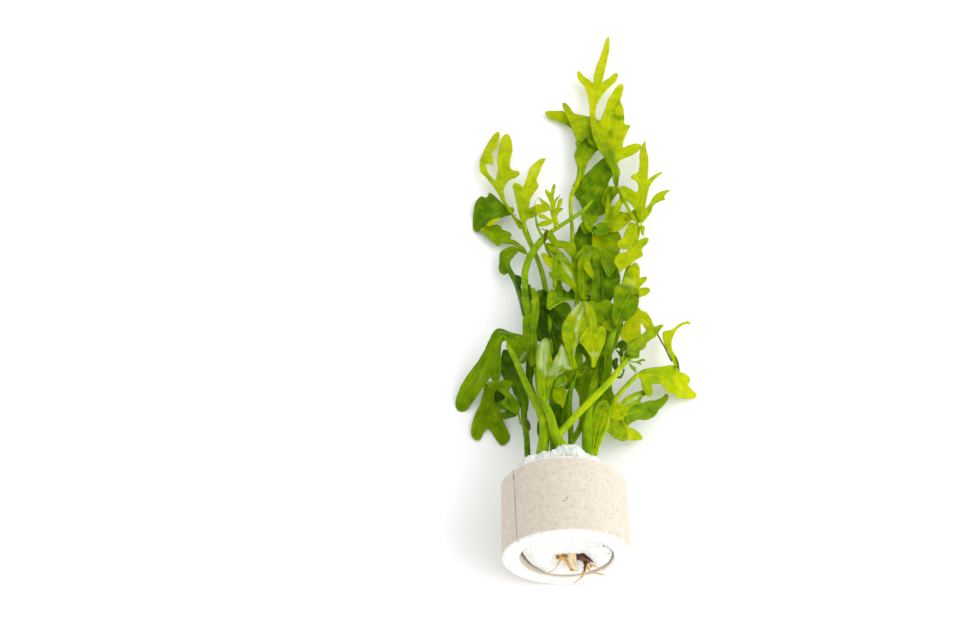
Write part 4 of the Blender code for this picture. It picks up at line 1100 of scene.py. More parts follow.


# Right frond
# The fork of the tall frond that leans right, and the blades that grow down its stalk, which lie over each
# other and carry painted shade where they do.
frond("right_frond", [
    blade([
        643, 222, 640.3, 222.3, 637.5, 218, 635.8, 212.5, 633.8, 208, 629, 202.6, 626, 200.8, 623, 203,
        620.6, 208.5, 618.5, 214.5, 613.5, 215.5, 612.8, 210, 615.5, 204.5, 618.6, 200, 619.6, 194.5,
        618.8, 187.8, 621.5, 186.3, 625.2, 186.5, 631.4, 189.1, 636.3, 192.4, 638, 190, 638.3, 186,
        635.9, 181, 630.8, 178, 631.5, 176, 635.9, 173.5, 638.6, 170.4, 639.5, 156, 641, 147.1, 643, 143.5,
        645.6, 139.4, 646, 147, 648.2, 157, 648.5, 165, 647.5, 180.5, 652.9, 175.7, 661, 172.3, 663.4, 172.8,
        657.3, 177, 650.2, 185.5, 647, 197, 644.8, 209.6, 649.3, 204.3, 654.6, 195.4, 662.7, 190.9,
        671, 189.8, 667, 193.5, 664.3, 196.5, 665, 199.2, 660, 201.5, 653.5, 205.5, 651, 212.3, 647, 217.5
    ], (641.5, 222, 7.6), (645.6, 139.6, 1.4), 0.3, 8, arch=2.4, tip_age=0.1, tints_and_shade=[
        622, 190, 5, 0.08, 640, 214, 6, 0.1, 626, 196, 5, 0.1
    ], marks=[635.8, 215.6, 1.2, 2], veins=[
        ([639, 233, 641.5, 222, 641.5, 205, 642.5, 190, 643, 170, 645, 145], 0.65, 0.12, 6.8),
        ([641.5, 205, 632, 196, 624, 190], 0.35, 0.1), ([643, 183, 652, 177.5, 661, 173.5], 0.3, 0.1),
        ([642.5, 216, 652, 203, 668, 192], 0.3, 0.1)
    ]),
    blade([
        607.5, 186, 611, 186, 614.4, 186.4, 618.4, 188.5, 619.4, 192.4, 616.8, 194.2, 613, 199.6,
        610.2, 204.8, 606, 208, 602, 203, 603, 194, 605, 189
    ], (604, 206, 4.2), (613, 188, 4.5), 0.42, 9, tip_age=0.34, wave=0.15, veins=[
        ([604, 205, 609, 196, 617, 189.5], 0.3, 0.1)
    ]),
    blade([
        627.6, 211.8, 631.2, 211.6, 634.8, 209.2, 637.5, 216, 640.5, 222, 638, 223.5, 634, 221, 630, 217
    ], (639, 222, 6.8), (630, 212, 6.5), 0.3, 10, wave=0.12),
    blade([
        637, 226, 637.8, 232, 637.2, 238, 634, 243.7, 640.6, 239.4, 646.2, 237.5, 648.6, 238.6, 646.9, 243.7,
        641.7, 249.8, 643, 255.2, 636.6, 259.6, 631, 264.2, 624.3, 268.5, 620.4, 272.2, 617.4, 267.6,
        614.5, 263.5, 615.5, 257, 620, 252.8, 625, 252.5, 628.7, 249.3, 618, 247.6, 617.6, 241.5,
        622.4, 238.2, 625, 231.6, 629, 223.6, 633, 222.5
    ], (634, 226, 8.8), (617, 269, 13.6), 0.3, 11, arch=0.6, tip_age=0.14, veins=[
        ([637, 226, 631, 245, 626, 258, 619, 269], 0.45, 0.12),
        ([631, 250, 640, 243, 646.5, 239.5], 0.3, 0.1)
    ]),
    blade([
        614, 292, 616, 288, 622.3, 282, 624.8, 274.2, 627, 269.7, 631.6, 265, 635.5, 262.6, 638.9, 265.7,
        640, 271.9, 640, 277.6, 646.4, 277, 647, 279, 642.8, 284.3, 638.3, 288.4, 649.2, 288.2, 650.4, 290.2,
        646.2, 294.9, 639.4, 297.4, 632, 301, 622, 300
    ], (619, 312, 13.6), (636, 264, 9), 0.25, 12, arch=1.6, tip_age=0.15, tints_and_shade=[
        628, 275, 5, 0.3, 626, 288, 5, 0.2
    ], wet_painted_light=[627, 279, 634, 283, 2.4, 0.48], veins=[
        ([624, 300, 632, 284, 636.5, 268], 0.4, 0.1), ([630, 288, 638, 282, 645.5, 278.5], 0.3, 0.1),
        ([628, 296, 638, 293, 649, 290], 0.3, 0.1)
    ]),
    blade([
        611.5, 319, 612.2, 308, 613.6, 300, 613.4, 292, 616, 285.4, 621.5, 283.5, 628, 284.8, 634, 287.5,
        638.7, 290.3, 639, 298, 638.3, 305.6, 635.5, 312.9, 629.3, 319.1, 622.5, 322.5, 618, 330, 614.5, 327
    ], (619, 319, 15.6), (635, 264, 11.6), 0.6, 13, arch=1.6, spots=0.6, tip_age=0.52, tints_and_shade=[
        619.5, 290, 4, -0.25, 635, 292, 4, -0.1, 622, 312, 5, 0.12, 630, 300, 3, -0.1
    ], wet_painted_light=[622, 284.5, 633, 288, 2.2, 0.5], marks=[632, 297, 5.5, 0.75, 634, 308, 4, 0.5], veins=[
        ([616, 324, 622, 308, 629, 296, 632, 289], 0.5, 0.12), ([622, 308, 619.5, 298, 619, 288], 0.3, 0.1)
    ]),
    blade([
        641.5, 225.5, 643.9, 226, 643.9, 234.1, 643.7, 236.6, 641, 232
    ], (642, 225.5, 8.6), (643.6, 236, 8.8), 0.3, 14, veins=[
        ([642, 225.5, 642.8, 230.8, 643.4, 234.4], 0.35, 0.1)
    ]),
    blade([
        631, 246.6, 627, 247.2, 622, 247.4, 620, 249.5, 619.8, 252.6, 617.5, 258, 619.5, 266, 617.5, 270,
        612, 266, 603, 258, 597, 251.5, 592.3, 246, 591.6, 240, 592.6, 234.5, 594.5, 231, 597, 233,
        600.5, 231, 606, 229.5, 613, 229, 617.5, 231, 620.6, 236, 622, 240, 625, 243.4, 631, 244.6
    ], (630, 246, 7), (593, 236, 5.6), 0.4, 15, tip_age=0.3, tints_and_shade=[
        595.5, 237, 3.5, -0.25, 611, 236, 6, 0.15, 605, 250, 5, 0.1, 618, 262, 4, 0.1
    ], wet_painted_light=[614, 252, 619.5, 243, 2.4, 0.42], veins=[
        ([635, 246, 631, 245.6, 620, 243, 608, 243, 596, 237], 0.4, 0.12, 6.9),
        ([618, 244, 613, 252, 612, 262], 0.35, 0.1)
    ]),
    blade([
        610.8, 301, 604.6, 302, 599, 303.5, 595.7, 304, 591, 301, 590.8, 292, 591.2, 280.9, 590.8, 270,
        591.5, 260, 592.2, 251.5, 594, 247.5, 597, 248, 600.5, 252, 606, 257.5, 611, 262, 616, 266.5,
        619.5, 273, 620.3, 280, 618.4, 285.5, 615.6, 291, 612.4, 299
    ], (605, 301, 11.6), (597, 250, 8), 0.72, 16, arch=0.6, tip_age=0.62, tints_and_shade=[
        596, 255, 5, -0.3, 594, 294, 5, -0.2, 600, 291, 3, 0.15, 609, 283, 4, -0.15, 617, 276, 3, 0.15,
        604, 300, 3, -0.2
    ], veins=[([604, 300, 603, 285, 601, 268, 596.5, 252], 0.5, 0.12)]),
    blade([
        600, 257, 605, 256.5, 612, 263, 617.3, 268, 613, 272.5, 609, 277.6, 606, 275, 603, 268, 600.5, 262
    ], (603, 258, 10), (610, 276, 11.6), 0.52, 17, veins=[([604, 259, 608, 267, 609, 275], 0.3, 0.1)]),
    stalk([
        606, 322, 13.6, 1, 603.5, 303, 12.7, 0.8, 602.6, 285, 11.4, 0.55, 601.5, 266, 9.8, 0.4
    ], 0.84),
    blade([
        580, 297.5, 584, 295, 590, 295.6, 597, 299, 597.5, 304, 592, 304.6, 587, 301.5
    ], (596, 302, 9.4), (582, 297, 9), 0.84, 19, wet_painted_light=[593.2, 302, 593.6, 304.5, 1, 0.4]),
    blade([
        615, 329.5, 608, 332.4, 602, 332, 596.6, 328, 593.6, 319, 590, 310.5, 587.6, 303, 591, 300.6,
        597, 303, 602.5, 300.5, 606.5, 299.5, 610.5, 301.6, 615, 307, 620, 314, 620, 323
    ], (611, 324, 14.4), (600, 301, 14.6), 0.48, 20, tints_and_shade=[
        599, 313, 4, 0.15, 611, 305, 4, -0.1, 608, 317, 4, 0.12
    ], veins=[([611, 324, 605.5, 312.5, 601.6, 304.4], 0.35, 0.1)]),
    blade([
        600, 323, 606, 320.6, 613, 321.5, 616.5, 324.5, 615, 329, 610, 331.6, 607, 330.6, 603, 325.4
    ], (613, 328, 15.4), (601, 323, 15.2), 0.4, 21, veins=[
        ([612, 327.5, 606, 324.5, 601.5, 323.3], 0.3, 0.1)
    ]),
    blade([
        611, 318, 617, 319.5, 622.6, 322, 621, 331, 618.4, 340, 617, 346.5, 612.6, 351, 608.6, 352, 606, 345,
        609, 332
    ], (610, 350, 12.4), (619, 323, 12.8), 0.5, 22, tints_and_shade=[609, 335, 3, 0.2], veins=[
        ([610, 349, 614.6, 337, 618.6, 325], 0.3, 0.1)
    ]),
], [
    "right_tip", "right_middle_blade", "right_low_blade", "right_tail", "centre_left_blade",
    "centre_dark_blade", "centre_low_blade"
])


# Pale frond
# Thin pale stalk that runs up the middle under the others to the tall frond, with small crumpled leaflets.
frond("pale_frond", [
    stalk([
        581, 425, 12, 1.7, 582, 395, 10, 1.6, 580, 350, 8, 1.5, 577, 305, 6.6, 1.4, 573.4, 262, 5.6, 1.25,
        572, 229, 5, 1.2, 570.6, 209, 5, 1.25, 571.3, 197, 5.6, 1.3, 574, 188.5, 6.2, 1.3
    ], 0.6, crown=(1.6, 14.4), tip_age=0.3, crown_width=1.8),
    blade([
        556.5, 279, 555.3, 270, 556.5, 261, 559, 253.5, 561.5, 252.5, 564.5, 256.5, 568, 261.5, 572, 262.5,
        574.6, 257, 578.5, 251.5, 583.3, 247, 585, 254, 584.4, 264, 586, 274, 588, 284, 589, 294,
        586.5, 300.5, 580.5, 301.5, 576, 295, 571.5, 288.5, 566.5, 284, 561, 281
    ], (583, 300, 8.2), (566, 262, 9.6), 0.4, 24, arch=0.5, wave=0.35, tints_and_shade=[
        560, 262, 4, -0.1, 577, 268, 4, 0.14, 580, 292, 5, 0.12, 567, 272, 4, -0.08, 583, 254, 4, 0.1,
        559, 262.6, 1.5, 0.7, 575.6, 261, 2.4, 0.3, 577.6, 271, 2.2, 0.24, 579, 280, 2.2, 0.2
    ], wet_painted_light=[
        560, 255, 568, 268, 2, 0.46, 563, 266, 571, 276, 2, 0.46, 569, 272, 574.5, 281, 1.6, 0.42,
        583, 281, 585, 291, 1.6, 0.36, 581.5, 256, 583.5, 266, 1.6, 0.42
    ], veins=[
        ([583, 300, 575, 285, 566, 274, 559, 262], 0.6, 0.12),
        ([582, 296, 580.5, 280, 580, 266, 583, 251], 0.45, 0.1), ([575, 285, 570, 276, 563, 268], 0.3, 0.1)
    ]),
    blade([
        582, 246.5, 592, 245.5, 595.5, 249.5, 593, 262, 587, 263, 583, 257
    ], (585, 261, 6.6), (590, 247, 6.2), 0.52, 25, wet_painted_light=[586, 259, 590, 253, 3, 0.66]),
    blade([
        588, 300.5, 583, 301, 580, 297, 578, 286, 577.3, 274, 578, 262, 580, 256, 584, 254.5, 587, 256,
        591.5, 251, 594, 250, 591, 258, 589.5, 264, 590.5, 272, 591.5, 282, 590.5, 292
    ], (584, 300, 9.4), (586, 257, 10.6), 0.42, 26, tints_and_shade=[
        588.5, 282.5, 3, 0.55, 586, 252, 4, 0.1, 583, 290, 4, 0.12
    ], veins=[([584, 299, 583, 283, 584, 268, 586, 258], 0.45, 0.1)]),
    blade([
        583.6, 263, 586.5, 260.5, 589.8, 262.5, 592.6, 270, 594.6, 277, 593.6, 280.3, 590, 277.3, 586, 272,
        583.5, 268
    ], (587, 262, 11), (593, 279, 11.6), 0.34, 27, veins=[
        ([587, 263, 589.5, 270, 592.5, 277.5], 0.3, 0.1)
    ]),
    blade([
        574.4, 244, 574.3, 236, 577.5, 230.5, 580.3, 224, 585.5, 224.5, 591, 230, 592.8, 238, 592, 246,
        587.5, 248.5, 583, 249, 580, 253.5, 577.6, 257.5, 575.6, 251
    ], (577, 252, 4.9), (585, 228, 4.6), 0.78, 28, wave=0.4, tints_and_shade=[584, 240, 5, -0.22, 579, 232, 4, 0.1],
    wet_painted_light=[
        584, 240, 584, 240, 4, 0.25
    ], veins=[([577.5, 254, 580, 243, 585, 231], 0.35, 0.1)]),
    blade([
        581.5, 217.3, 585, 216.2, 589, 219, 592.5, 223, 594.6, 227.5, 593.6, 232, 589.5, 231.8, 586, 229,
        583.6, 224.5
    ], (584, 218, 9), (588, 231, 8), 0.5, 29, veins=[([584, 218, 586, 224.5, 587.4, 229.1], 0.35, 0.1)]),
    blade([
        580.5, 213.5, 586, 213.6, 592, 215.4, 598.5, 215.8, 598, 219.5, 595, 223.2, 590, 222.6, 585, 219.5
    ], (582, 215, 6), (597, 219, 6), 0.46, 30, veins=[([582, 215, 589, 217.5, 596, 219], 0.3, 0.1)]),
    blade([
        580, 224, 583.5, 222.6, 586.5, 227, 587.5, 232.5, 584.5, 233.5, 581.5, 229.5
    ], (581, 224, 8), (586, 232.5, 7.4), 0.55, 31),
    blade([
        592.6, 229, 595.5, 224.6, 601.3, 222.2, 606.6, 223.6, 608.6, 228.5, 607, 234.4, 601, 236.4,
        595, 235.6
    ], (596, 227, 8.4), (608, 228, 7.6), 0.6, 32, tints_and_shade=[594.6, 228.6, 1.6, 0.6], wet_painted_light=[
        596.4, 224.5, 597.2, 226.5, 0.9, 0.5
    ], veins=[([596, 227, 602, 227.5, 606.2, 227.8], 0.35, 0.1)]),
], ["pale_stalk", "pale_top_blade", "pale_side_blade", "pale_small_blade", "pale_round_blade"])


# Curved frond
# Thick stalk that bends left and then over to the right in a wide bow, with brown swollen joints, and the
# leaves that hang from it.
frond("curved_frond", [
    stalk([
        546, 425, 14.6, 2.3, 541, 395, 13, 2.3, 535, 350, 11.8, 2.3, 529.5, 315, 10.6, 2.6,
        526.5, 302, 10.2, 2.9, 525.4, 290, 10, 2.25, 525, 272, 9.6, 2.15, 530.5, 256, 9.4, 2.3,
        539.6, 243, 9.2, 2.4, 546, 236, 9.1, 2.2, 551, 232, 9, 1.5, 558, 227.5, 8.8, 1.4,
        570, 219.5, 8.6, 1.35, 583, 210.7, 8, 1.25, 592, 201, 7.2, 1
    ], 0.62, crown=(-6, 15.6), tip_age=0.5, spots=0.3, crown_width=2.3),
    stalk([
        526.2, 299.5, 10.4, 2.2, 525.6, 295.5, 10.5, 2.45, 525.4, 291.5, 10.5, 2.35
    ], 0.78, spots=0.7),
    stalk([
        546.8, 231, 10, 1.1, 545.6, 235, 9.9, 1.3, 544.6, 240.5, 9.8, 1
    ], 0.9, spots=1.5),
    stalk([
        544.5, 239, 9.9, 0.7, 545, 244, 9.6, 0.6, 546.5, 250, 9.2, 0.5, 550.5, 257, 8.8, 0.4
    ], 0.75, spots=1.3),
    blade([
        545.6, 243.5, 549.5, 243, 553.5, 248.6, 556.6, 256, 555.6, 262, 551.6, 257.5, 547.5, 250.5
    ], (547, 245, 8.2), (555, 261, 8), 0.46, 37, wet_painted_light=[548, 248, 553.5, 257, 1.8, 0.5]),
    stalk([
        529.4, 285, 10.6, 0.7, 530.4, 292, 10.8, 1.1, 530.2, 300, 10.8, 0.8
    ], 1, spots=1.3),
    blade([
        533.5, 367, 530.5, 367, 528, 358, 524.5, 345, 522.7, 334, 522.8, 322, 524.4, 315.5, 529.3, 314,
        531.6, 307, 531.5, 296, 531.5, 289, 533.5, 287.6, 536.4, 291, 538.6, 297.4, 539.6, 307, 538.4, 320,
        536, 333, 536, 345, 536.5, 358
    ], (532, 366, 13.5), (534, 289, 12.8), 0.64, 39, tip_age=0.5, tints_and_shade=[
        532, 300, 4, -0.1, 529, 330, 5, 0.12, 532, 350, 5, 0.08
    ], veins=[([532.5, 366, 531, 345, 533, 320, 534.5, 293], 0.45, 0.1)]),
    blade([
        541.5, 254, 544, 252.8, 549, 255.7, 554, 259, 556.2, 263, 554, 268, 551, 270.3, 548, 265.5,
        544.5, 262.7, 542.6, 258
    ], (555, 264, 8.8), (543, 254, 8.4), 0.18, 40, veins=[([554, 264, 549, 260, 543.5, 255], 0.35, 0.1)]),
    blade([
        555, 289, 552.8, 286.5, 552.4, 280, 549.6, 275.8, 549.2, 272.5, 552, 271, 553, 262.5, 554.8, 256,
        557, 252.4, 558.6, 256.5, 557.7, 266, 558, 276, 557, 284
    ], (556, 288, 12.8), (557, 252, 12.4), 0.48, 41, veins=[([555, 287, 555, 272, 556.5, 256], 0.35, 0.1)]),
    blade([
        556.8, 278, 560.5, 279.5, 562, 284.5, 563.3, 291, 562, 297.5, 558, 296.5, 555, 292.5, 555, 286
    ], (559, 297, 7), (558.5, 279, 7.4), 0.6, 42, tints_and_shade=[560, 284, 3, -0.15], veins=[
        ([559, 295, 559, 288, 558.6, 281], 0.3, 0.1)
    ]),
    blade([
        560.5, 297, 561.6, 287, 565, 290, 568.4, 292, 571.6, 287.4, 575, 290, 577.5, 296, 573, 299.5,
        566, 299
    ], (573, 298, 6.2), (563, 293, 6.4), 0.8, 43, tints_and_shade=[568, 294, 4, -0.15]),
    blade([
        546.5, 246, 549.5, 243.5, 556, 246, 560.5, 250, 565.5, 256.5, 569.6, 262.4, 569, 266, 565, 263,
        560.6, 258.5, 556, 254.5, 550.5, 251.5
    ], (548, 246, 8.2), (569, 264, 9.4), 0.5, 44, wet_painted_light=[559, 251, 566, 261, 1.6, 0.46], tints_and_shade=[
        553, 248, 4, -0.12
    ], veins=[([549, 247, 559, 252.6, 568, 264], 0.3, 0.1)]),
    blade([
        553, 243, 558, 240.6, 566, 241.5, 573, 241.7, 575.6, 246, 576.6, 255, 573.6, 258.6, 566, 251.5,
        561, 247.5, 556, 246.5
    ], (575, 252, 7.6), (555, 243, 8.6), 0.4, 45, veins=[([574, 251, 566, 246, 557, 244], 0.3, 0.1)]),
    blade([
        547.5, 234.5, 551, 232.5, 555, 236, 558, 240.5, 563, 241.6, 566, 245, 562, 248, 555, 246.4,
        549.5, 241.5
    ], (549, 235, 8.6), (564, 245, 7.8), 0.4, 46, veins=[([550, 236, 556, 241.5, 563, 245], 0.3, 0.1)]),
], ["curved_stalk", "tall_narrow_blade", "bow_narrow_blade", "bow_blade"])


# Left frond
# The stalk that leans left over the gap, with long forked tips, older leaves under them, and a dark side
# stalk that hangs back down from a dying leaf.
frond("left_frond", [
    stalk([
        552.5, 425, 11.6, 1.9, 552, 390, 9.6, 1.8, 551, 350, 8.6, 1.8, 548.5, 310, 7.6, 1.75,
        543.7, 280, 6.8, 1.65, 538.5, 262, 6.2, 1.6, 532.5, 248, 5.9, 1.7, 526.6, 234, 6.2, 1.85,
        523.6, 226, 6.4, 1.6
    ], 0.8, crown=(-2.4, 18.2), tip_age=0.46, crown_width=1.9),
    blade([
        520.5, 229, 513.5, 219, 508, 210.5, 503, 203, 500.3, 198, 495, 189, 485.5, 177, 480.4, 171.5,
        480.2, 159.5, 484, 151, 490, 140, 495.5, 132.8, 498.4, 131.8, 499.7, 134, 498.9, 140, 495.5, 149,
        492, 153.5, 493.4, 158, 492.8, 164.8, 489, 164, 486, 164, 487.4, 171, 495.2, 181, 497.8, 171,
        497.4, 158, 499, 148, 501, 140.5, 504.5, 134.8, 508, 134, 511, 139, 512.6, 149, 510.4, 168,
        514, 170.6, 518.6, 171.6, 519.8, 174, 516, 177.5, 509.7, 180, 504.4, 187, 504.4, 196.5, 509, 206.5,
        513.8, 208, 514.2, 211, 512.6, 213.5, 518.5, 219.5, 525, 226
    ], (522, 226, 5.4), (502, 134, 0.45), 0.38, 48, arch=2, tip_age=0.12, tints_and_shade=[
        485, 160, 5, 0.14, 496, 176, 5, 0.1, 511, 168, 4, 0.06, 498, 196, 5, 0.1, 512, 216, 5, 0.12
    ], veins=[
        ([524, 231, 518, 223, 509, 208.5, 499, 190, 488, 174, 483.7, 165, 488, 150,
          496, 136], 0.6, 0.12, 6.4),
        ([502, 193, 502.5, 172, 504.5, 153, 507, 138], 0.4, 0.1),
        ([504, 182, 510, 176, 517, 173.5], 0.25, 0.1)
    ]),
    blade([
        527, 232.5, 523, 226, 520, 219, 517, 206, 514, 192, 512.6, 185.5, 514.5, 182.8, 518, 183.3,
        523, 187.4, 527, 177, 529.5, 169, 536.5, 161.5, 543, 158, 546.4, 158.6, 542, 166, 539, 174,
        536.5, 180.5, 538.6, 186, 533.7, 193.6, 530.3, 200, 528.8, 208.5, 535, 205.6, 536, 212, 533.5, 217.5,
        529, 218.6, 526, 221.5, 526, 226.5
    ], (529, 229, 8.2), (540, 160, 2.4), 0.32, 49, arch=1.6, tip_age=0.1, tints_and_shade=[
        524, 215, 5, 0.12, 517, 188, 4, 0.06
    ], wet_painted_light=[534, 171, 534, 171, 4, 0.5, 530, 178, 530, 178, 3.5, 0.4], veins=[
        ([526, 232, 523.5, 218, 521.5, 202, 525.5, 190, 532, 176, 542, 161], 0.5, 0.12),
        ([522, 204, 518, 194, 515, 186], 0.3, 0.1)
    ]),
    blade([
        512.5, 214.5, 508, 215.6, 500, 218, 493, 221, 487, 224.5, 483, 227.5, 477.5, 232, 474, 230, 473, 220,
        474, 209, 477, 200, 481, 196.5, 486.5, 197.5, 489.2, 192.8, 494, 195.3, 500, 201, 506, 206,
        511.5, 208.5
    ], (511, 214, 4.8), (477, 214, 1.6), 0.62, 50, tip_age=0.68, wave=0.45, tints_and_shade=[
        496, 205, 4, -0.15, 505, 211, 4, 0.1, 480, 222, 5, 0.1
    ], veins=[
        ([516, 216, 510, 212, 500, 209.5, 487, 212], 0.3, 0.1), ([506, 211, 494, 202, 487, 198], 0.2, 0.1),
        ([503, 211, 490, 218, 479, 227], 0.2, 0.1), ([498, 209, 486, 205, 477, 204], 0.2, 0.1)
    ]),
    blade([
        500, 217.6, 494, 219, 488.5, 222, 485.5, 225.6, 489, 226.5, 494, 223.5, 499.5, 219.5
    ], (500, 218, 5.4), (486, 226, 3.2), 0.12, 51),
    blade([
        528.5, 254.8, 524, 252.5, 518, 247.5, 512, 244.8, 506, 243.6, 501, 243.5, 499.5, 246.5, 492, 241.6,
        486, 236, 480.5, 231, 480.6, 228.6, 486, 226.3, 493, 225, 498.4, 224.8, 501, 226.5, 502, 229.2,
        508, 231.5, 511.7, 235, 510, 238.4, 514, 240, 520, 244, 525, 249
    ], (524, 250, 3.6), (482, 230, 1.8), 0.44, 52, wave=0.35, tints_and_shade=[
        503, 230, 4.5, 0.14, 486, 231, 4, -0.06, 521, 248, 4, -0.1
    ], veins=[
        ([528, 254.5, 518, 245.5, 503, 239, 486, 231], 0.45, 0.12, 5),
        ([503, 239, 505, 235, 508, 233], 0.25, 0.1)
    ]),
    blade([
        528.5, 255.6, 523, 252.2, 519, 251.6, 513.5, 257, 510, 263, 511, 268.5, 505, 274.5, 499.5, 272,
        499.3, 262, 500.5, 252, 503, 249.8, 509, 247, 512, 246, 518, 248, 524, 252
    ], (528, 254, 5.6), (501, 266, 3.6), 0.58, 53, spots=0.5, veins=[
        ([531, 255.5, 526, 254, 516, 251.5, 506, 261], 0.45, 0.12)
    ]),
    stalk([
        506, 265, 4.8, 1.5, 511.6, 274, 5.4, 1.8, 516.4, 283, 6.4, 1.9, 519.6, 293, 7.4, 1.9,
        522.2, 303, 8.4, 1.8, 525, 315, 9.4, 1.7
    ], 0.8, spots=0.6),
    blade([
        513, 275.6, 517, 275, 521, 277, 521.8, 281, 520.8, 286, 518.6, 289.6, 516.4, 284, 514, 279
    ], (515, 277, 6), (519, 287, 8), 0.95, 55, spots=1),
    blade([
        573.6, 301.2, 570, 299.5, 564.5, 300.8, 559, 303.2, 554, 306.2, 549, 309.5, 546.6, 308, 546.5, 304,
        547, 298, 548.2, 292, 551.6, 289.3, 555.5, 291.5, 558.5, 295.8, 564, 297.7, 570, 298.3
    ], (574, 302, 7.6), (548, 303, 12.4), 0.5, 56, tints_and_shade=[551, 296, 3.5, -0.12, 556, 300, 4, 0.1], veins=[
        ([573.5, 300, 564, 299, 555, 300, 548.5, 306], 0.4, 0.2)
    ]),
    stalk([
        572.5, 300.3, 8, 0.3, 565, 301, 9.8, 0.35, 557, 304.4, 11.4, 0.4, 549.5, 309.3, 12.4, 0.6
    ], 0.4),
    blade([
        556, 316, 553.5, 311, 555.3, 306, 561, 302.8, 567, 302.3, 570, 306, 571.3, 311, 569.5, 315.6,
        573.5, 320, 574.6, 324, 569, 322, 562, 319.6
    ], (574.6, 322, 7.4), (564, 303, 7.8), 0.72, 58, spots=0.6, veins=[
        ([574.6, 322, 569.3, 312.5, 565.6, 305.9], 0.35, 0.1)
    ]),
    blade([
        536.4, 292, 541, 289.6, 546.4, 291, 549.5, 301, 554, 308, 561, 315.5, 567.5, 319, 567, 327, 564, 337,
        568.6, 346, 564, 349, 557, 358, 552.5, 362, 549.5, 352, 546, 341, 540, 342, 536, 338, 535.4, 325,
        536.6, 308
    ], (556, 345, 9.6), (545, 305, 9.4), 0.9, 59, wave=0.5, crinkle=0.14, spots=0.35, tints_and_shade=[
        539, 294, 3, -0.35, 562, 337, 4, -0.15, 545, 325, 9, 0.14
    ], marks=[552, 330, 3, 0.55, 557, 337, 2.4, 0.5, 540, 295, 2.5, 0.4], wet_painted_light=[
        556, 327, 562, 331, 1.6, 0.34
    ], veins=[([556, 345, 551, 328, 546, 312], 0.5, 0.1)]),
], [
    "left_stalk", "left_far_blade", "left_near_blade", "left_dark_blade", "left_low_blade",
    "left_olive_blade", "olive_stalk", "bow_curled_blade", "bow_dark_blade"
])


